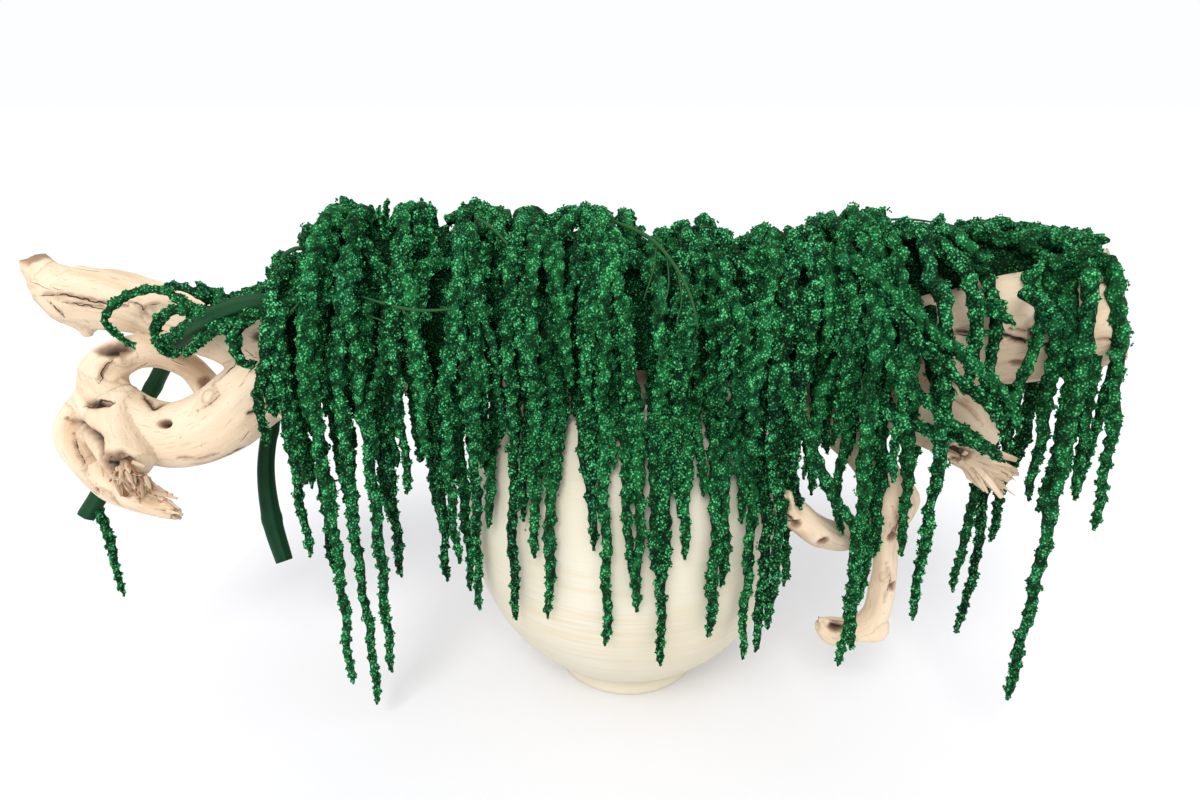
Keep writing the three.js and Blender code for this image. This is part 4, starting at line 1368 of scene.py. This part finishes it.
def weathered(shape, names):
    points, normals = shape.vertices, normals_of(shape)
    grain = grain_of(points, names)
    broad, ridges, fibres = (
        layered_noise(where, *row[:3]) * row[3] for where, row in zip((points, grain, grain), RELIEF)
    )
    moved = broad + ridges + fibres
    # Wear and painted shade in the grooves between the ridges and fibres
    worn = np.clip(-ridges * 0.35 - fibres * 0.9 - 0.3, 0, 0.4)
    burnt = np.zeros(len(points))
    for marks in knots, hollows, cracks:
        for own_move, own_wear_and_shade, own_deep_shade in marks(points):
            moved += own_move
            worn = np.maximum(worn, own_wear_and_shade)
            burnt = np.maximum(burnt, own_deep_shade)
    flat = (points @ SAWN["way"] > SAWN["from"]) & (np.abs(normals @ SAWN["way"]) > SAWN["facing"])
    rings = np.sin(np.hypot(grain[:, 0], grain[:, 1] * 1.1) * SAWN["ring"])
    moved = np.where(flat, SAWN["relief"] * rings + 0.3 * fibres, moved)
    worn = np.where(flat, np.maximum(worn * (burnt > 0.1), 0.12 + 0.12 * rings), worn)
    marks = {"grain": grain * MM, "worn": worn, "burnt": burnt, "sawn": flat.astype(float)}
    return Shape(points + normals * moved[:, None], shape.triangles, True, **marks)


# A thin rod of the wood
def rod(points, thick, sides, worn, burnt, coarse=1.0):
    shape = tube(points, thick, sides)
    marks = {"grain": shape.vertices * MM * coarse, "worn": worn, "burnt": burnt, "sawn": 0.0}
    return Shape(shape.vertices, shape.triangles, **marks)


# Fine dark lines of painted shade, as thin dark rods: the cracks' own, and short checks along the grain,
# laid on the finished skin
CHECKS = {"roots": 46, "branches": 26, "log": 22, "trunk": 0}
CHECK = {"long": (9, 34), "bow": 4, "stray": 0.12, "width": 0.8, "burnt": 0.55}
LINE = {"step": 3, "wobble": 0.7, "wobble_step": 9, "thick": 0.5, "sunk": 0.15, "widest": 2.5, "reach": 16}


def check_lines(points, part, names, chance):
    limbs = [limb_middle(name)[0] for name in names]
    middles = np.vstack(limbs)
    ways = np.vstack([frames(middle)[0] for middle in limbs])
    for _ in range(CHECKS[part]):
        start = points[chance.integers(len(points))]
        way = ways[np.linalg.norm(middles - start, axis=1).argmin()]
        way = unit(way + chance.normal(0, CHECK["stray"], 3))
        reach = np.arange(0, chance.uniform(*CHECK["long"]), LINE["step"])
        bow = unit(np.cross(way, chance.normal(size=3))) * chance.uniform(0, CHECK["bow"])
        bowed = np.sin(reach / reach[-1] * 3)[:, None] * bow
        yield start + reach[:, None] * way + bowed, CHECK["width"], CHECK["burnt"]


def fine_lines(skin, part, names, chance):
    points, normals = skin.vertices, normals_of(skin)
    rows = [(width, path) for width, _, path in CRACKS if width < LINE["widest"]]
    lines = [(spaced(np.array(path, float), LINE["step"]), width, 0.9) for width, path in rows]
    shapes = []
    for line, width, burnt in [*lines, *check_lines(points, part, names, chance)]:
        wobble = [noise_at(line, LINE["wobble_step"], seed) for seed in (91, 92, 93)]
        line = line + np.stack(wobble, axis=1) * LINE["wobble"]
        gaps = np.linalg.norm(points[None] - line[:, None], axis=2)
        reached = gaps.min(axis=1) < LINE["reach"]
        line, near = line[reached], gaps.argmin(axis=1)[reached]
        if len(near) < 4:
            continue
        own = normals[near]
        line = line + own * ((points[near] - line) * own).sum(axis=1)[:, None] - own * LINE["sunk"]
        thick = width * LINE["thick"] * np.sin(np.linspace(0.12, math.pi - 0.12, len(line)))
        shapes.append(rod(line, thick, 4, 0.9, burnt))
    return shapes


# Torn fibres that stand out of a broken end
FIBRE = {
    "scatter": 0.6, "rooted": 7, "long": (0.4, 1.0), "bow": 0.12, "thick": (0.5, 1.3), "tip": (0.15, 0.6),
    "coarse": 0.4,
}
FIBRE_SHADES = {"worn": [0.0, 0.12, 0.3, 0.7], "share": [0.42, 0.28, 0.18, 0.12], "splayed": 0.3}


def splinters(middle, way, spread, length, count, width, splay, chance):
    shapes = []
    way = unit(np.array(way, float))
    for _ in range(count):
        root = np.array(middle) + chance.normal(0, FIBRE["scatter"], 3) * spread
        own = unit(way + chance.normal(0, splay, 3))
        reach = length * chance.uniform(*FIBRE["long"])
        bend = unit(np.cross(own, chance.normal(size=3))) * reach * chance.uniform(0, FIBRE["bow"])
        middle_bent, end = root + own * reach * 0.5 + bend, root + own * reach
        path = np.array([root - own * FIBRE["rooted"], root, middle_bent, end])
        worn = chance.choice(FIBRE_SHADES["worn"], p=FIBRE_SHADES["share"])
        worn += FIBRE_SHADES["splayed"] * (splay > 0.3)
        thick = width * chance.uniform(*FIBRE["thick"])
        sizes = thick * np.array([1, 1, 0.85, chance.uniform(*FIBRE["tip"])])
        shapes.append(rod(path, sizes, 5, worn, 0.0, FIBRE["coarse"]))
    return shapes


def grapewood():
    chance = np.random.default_rng(61)
    lines = []
    for part, (names, voxel) in PARTS.items():
        skin = weathered(skin_over([limb(name) for name in names], voxel), names)
        make("grapewood_" + part, skin, GRAPEWOOD, ["grapewood"])
        lines += fine_lines(skin, part, names, chance) if CHECKS[part] else []
    fibres = [fibre for row in TORN for fibre in splinters(*row, chance)]
    for kind, shapes in ("fibres", fibres), ("checks", lines):
        make("grapewood_" + kind, joined(shapes), GRAPEWOOD, ["grapewood"])


grapewood()


# The vase, turned: a foot ring with a groove over it, a round belly, a short lip, and the inside. Two soft
# dents run down its right front, as (turn from the front, width, depth, from, to).
TURNED = {"sides": 128, "rings": 56, "wall": 8, "inner_rings": 20}
# The foot from its middle up, as (how far past the foot's radius, height), and the lip as (radius, height)
FOOT = [
    (0.1 - FOOT_RADIUS, 3), (-13, 3), (-9, 0.4), (-1.5, 0), (0, 1.6), (0.2, 5), (-1, 9), (-3.4, 11.5),
    (-6, 13), (-6, 15),
]
LIP = [
    (77, MOUTH_HEIGHT), (76.2, 312), (74.5, 314.6), (71, LIP_HEIGHT), (67.5, 314.6), (66, 311), (66.5, 305),
]
DENTS = [(40, 7, 3.2, 55, 235), (29, 4.5, 1.5, 45, 130), (-62, 9, 1.5, 90, 240)]
# Throwing lines and unevenness of the clay: (cell of the noise, layers, seed, height)
THROWN = ((160, 160, 7), 3, 71, 0.35)
UNEVEN = ((60, 60, 120), 2, 81, 0.9)
NOISE_RADIUS = 40


def vase_outline():
    foot = [(FOOT_RADIUS + out, z) for out, z in FOOT]
    body = [(vase_radius(z), z) for z in np.linspace(18.5, 306, TURNED["rings"])]
    inner = 1 - TURNED["wall"] / BELLY_RADIUS
    inside = [(vase_radius(z) * inner - 1.5, z) for z in np.linspace(298, 26, TURNED["inner_rings"])]
    return np.array([*foot, *body, *LIP, *inside, (0.1, 14)])


def vase():
    outline = vase_outline()
    turn = around(TURNED["sides"])
    radius, height = (np.repeat(outline[:, k:k + 1], len(turn), axis=1) for k in range(2))
    outer = np.arange(len(outline))[:, None] < len(FOOT) + TURNED["rings"]
    wrapped = np.broadcast_arrays(np.cos(turn) * NOISE_RADIUS, np.sin(turn) * NOISE_RADIUS, height)
    places = np.stack(wrapped, axis=-1).reshape(-1, 3)
    thrown, uneven = (
        layered_noise(places, *row[:3]).reshape(radius.shape) * row[3] for row in (THROWN, UNEVEN)
    )
    away = np.degrees(np.angle(np.exp(1j * (turn + math.pi / 2))))
    for middle, width, depth, low, high in DENTS:
        ends = np.clip((height - low) / 30, 0, 1) * np.clip((high - height) / 40, 0, 1)
        thrown -= depth * np.exp(-((away - middle) / width) ** 2) * ends
    radius = radius + (thrown + uneven * (height > 30)) * outer * np.clip(radius / 60, 0, 1)
    vertices = np.stack([radius * np.cos(turn), radius * np.sin(turn), height], axis=-1)
    turned = Shape(vertices, ring_triangles(len(outline), len(turn)), True)
    make("vase_turned", turned, STONEWARE, ["vase"])


vase()


# Bare stems, ribbed, with flat cut ends. tone is how far a place lies up a rib.
RIBS = {
    "sides": 24, "thin_sides": 7, "thick_over": 4, "step": 4, "depth": 0.1, "slim": 0.9, "swell": 0.05,
    "swell_wave": 0.045, "nodes_apart": 92, "node": 0.1, "node_long": 5,
}
# Coarse and fine ribs, as (how many round, twist, share)
RIB_SETS = [(6, 0.006, 0.6), (11, -0.011, 0.4)]
PALENESS = {"stem_left": 0.12, "stem_back_long": 0.0, "stem_back_short": 0.35, "side_stems": 0.5}
TWIG_SLIM = 0.75
TWIGS = [
    [(-224, -84, 416, 1.4), (-189, -97, 410, 2.1), (-171, -98, 408, 1.9), (-144, -97, 409, 1.2)],
    [(-189, -97, 410, 1.2), (-181, -99, 401, 0.9), (-178, -99, 386, 0.7)],
    [
        (-20, -8, 466, 2.4), (12, -46, 457, 2.6), (30, -76, 442, 2.3), (43, -96, 420, 1.9),
        (50, -102, 394, 1.2),
    ],
    [(18, -56, 452, 1.1), (14, -78, 436, 0.9), (6, -90, 414, 0.6)],
    [(26, -68, 446, 1.1), (26, -90, 426, 0.9), (20, -98, 402, 0.6)],
    [(34, -82, 436, 1.1), (36, -98, 416, 0.8), (32, -102, 396, 0.6)],
    [(165, -30, 464, 1.2), (200, -40, 470, 1.5), (228, -44, 472, 1.5), (262, -46, 468, 1.1)],
    [(-134, -40, 473, 1.8), (-119, -54, 467, 2), (-104, -70, 456, 1.4)],
    [
        (-302, -46, 420, 2.6), (-298, -54, 436, 2.8), (-290, -58, 446, 2.8), (-281, -56, 450, 2.6),
        (-272, -44, 446, 2),
    ],
    [(-216, -92, 402, 1), (-200, -98, 396, 1), (-196, -100, 376, 0.8)],
    [(-240, -76, 438, 1.2), (-234, -92, 418, 1.1), (-236, -98, 396, 0.8)],
    [(-270, -94, 414, 1.3), (-284, -104, 398, 1.2), (-288, -108, 378, 0.8)],
]


def ribbed(rows, paleness):
    path, radius = evenly(rows, RIBS["step"])
    radius = radius * RIBS["slim"]
    thick = radius.max() > RIBS["thick_over"]
    sides = RIBS["sides"] if thick else RIBS["thin_sides"]
    along = lengths(path)[:, None]
    angles = around(sides)[None]
    ribs = sum(share * np.cos(count * angles + twist * along) for count, twist, share in RIB_SETS)
    to_node = (along % RIBS["nodes_apart"] - RIBS["nodes_apart"] / 2) / RIBS["node_long"]
    swell = 1 + RIBS["swell"] * np.sin(along * RIBS["swell_wave"]) + RIBS["node"] * np.exp(-(to_node**2))
    radii = radius[:, None] * swell * (1 + RIBS["depth"] * thick * ribs)
    tone = np.append((0.5 + 0.5 * ribs).ravel(), [0.9, 0.9])
    return tube(path, radii, sides, True, tone=tone, tint=paleness)


for name, rows in STEMS.items():
    make(name + "_ribbed", ribbed(rows, PALENESS[name]), STEM, [name])
slim_twigs = [[(*row[:3], row[3] * TWIG_SLIM) for row in rows] for rows in TWIGS]
side_stems = [ribbed(rows, PALENESS["side_stems"]) for rows in slim_twigs]
make("side_stems", joined(side_stems), STEM)


# The photograph's camera: a 24 mm lens, looking down 21.2 degrees. Turns are in degrees, places in metres.
CAMERA = {"place": (-0.029, -0.722, 0.573), "down": 21.2, "lens": 24, "sensor": 36}
ROOM = {"half": 30, "floor": (0.78, 0.78, 0.8), "light": (0.985, 0.99, 1.0, 1)}
# Suns as (name, turn, strength, how wide each looks)
SUNS = [("key", (42, -14, 0), 1.65, 26), ("fill", (66, 24, 0), 0.42, 60)]


def add(name, data, place=(0, 0, 0), turn=(0, 0, 0)):
    thing = bpy.data.objects.new(name, data)
    thing.location = place
    thing.rotation_euler = [math.radians(angle) for angle in turn]
    bpy.context.scene.collection.objects.link(thing)
    return thing


def camera():
    data = bpy.data.cameras.new("camera")
    data.lens = CAMERA["lens"]
    data.sensor_width = CAMERA["sensor"]
    bpy.context.scene.camera = add("camera", data, CAMERA["place"], (90 - CAMERA["down"], 0, 0))


def studio():
    half = ROOM["half"]
    floor_mesh = bpy.data.meshes.new("floor")
    corners = [(-half, -half, 0), (half, -half, 0), (half, half, 0), (-half, half, 0)]
    floor_mesh.from_pydata(corners, [], [(0, 1, 2, 3)])
    floor_mesh.materials.append(Finish("pale_floor", ROOM["floor"], Roughness=0.95).material)
    add("floor", floor_mesh)
    for name, turn, power, angle in SUNS:
        data = bpy.data.lights.new(name, "SUN")
        data.energy, data.angle = power, math.radians(angle)
        add(name, data, (0, 0, 2), turn)
    world = bpy.data.worlds.new("studio")
    bpy.context.scene.world = world
    world.use_nodes = True
    backdrop = world.node_tree.nodes["Background"].inputs
    backdrop["Color"].default_value = ROOM["light"]
    backdrop["Strength"].default_value = 1.0
    bpy.context.scene.view_settings.view_transform = "Standard"


camera()
studio()
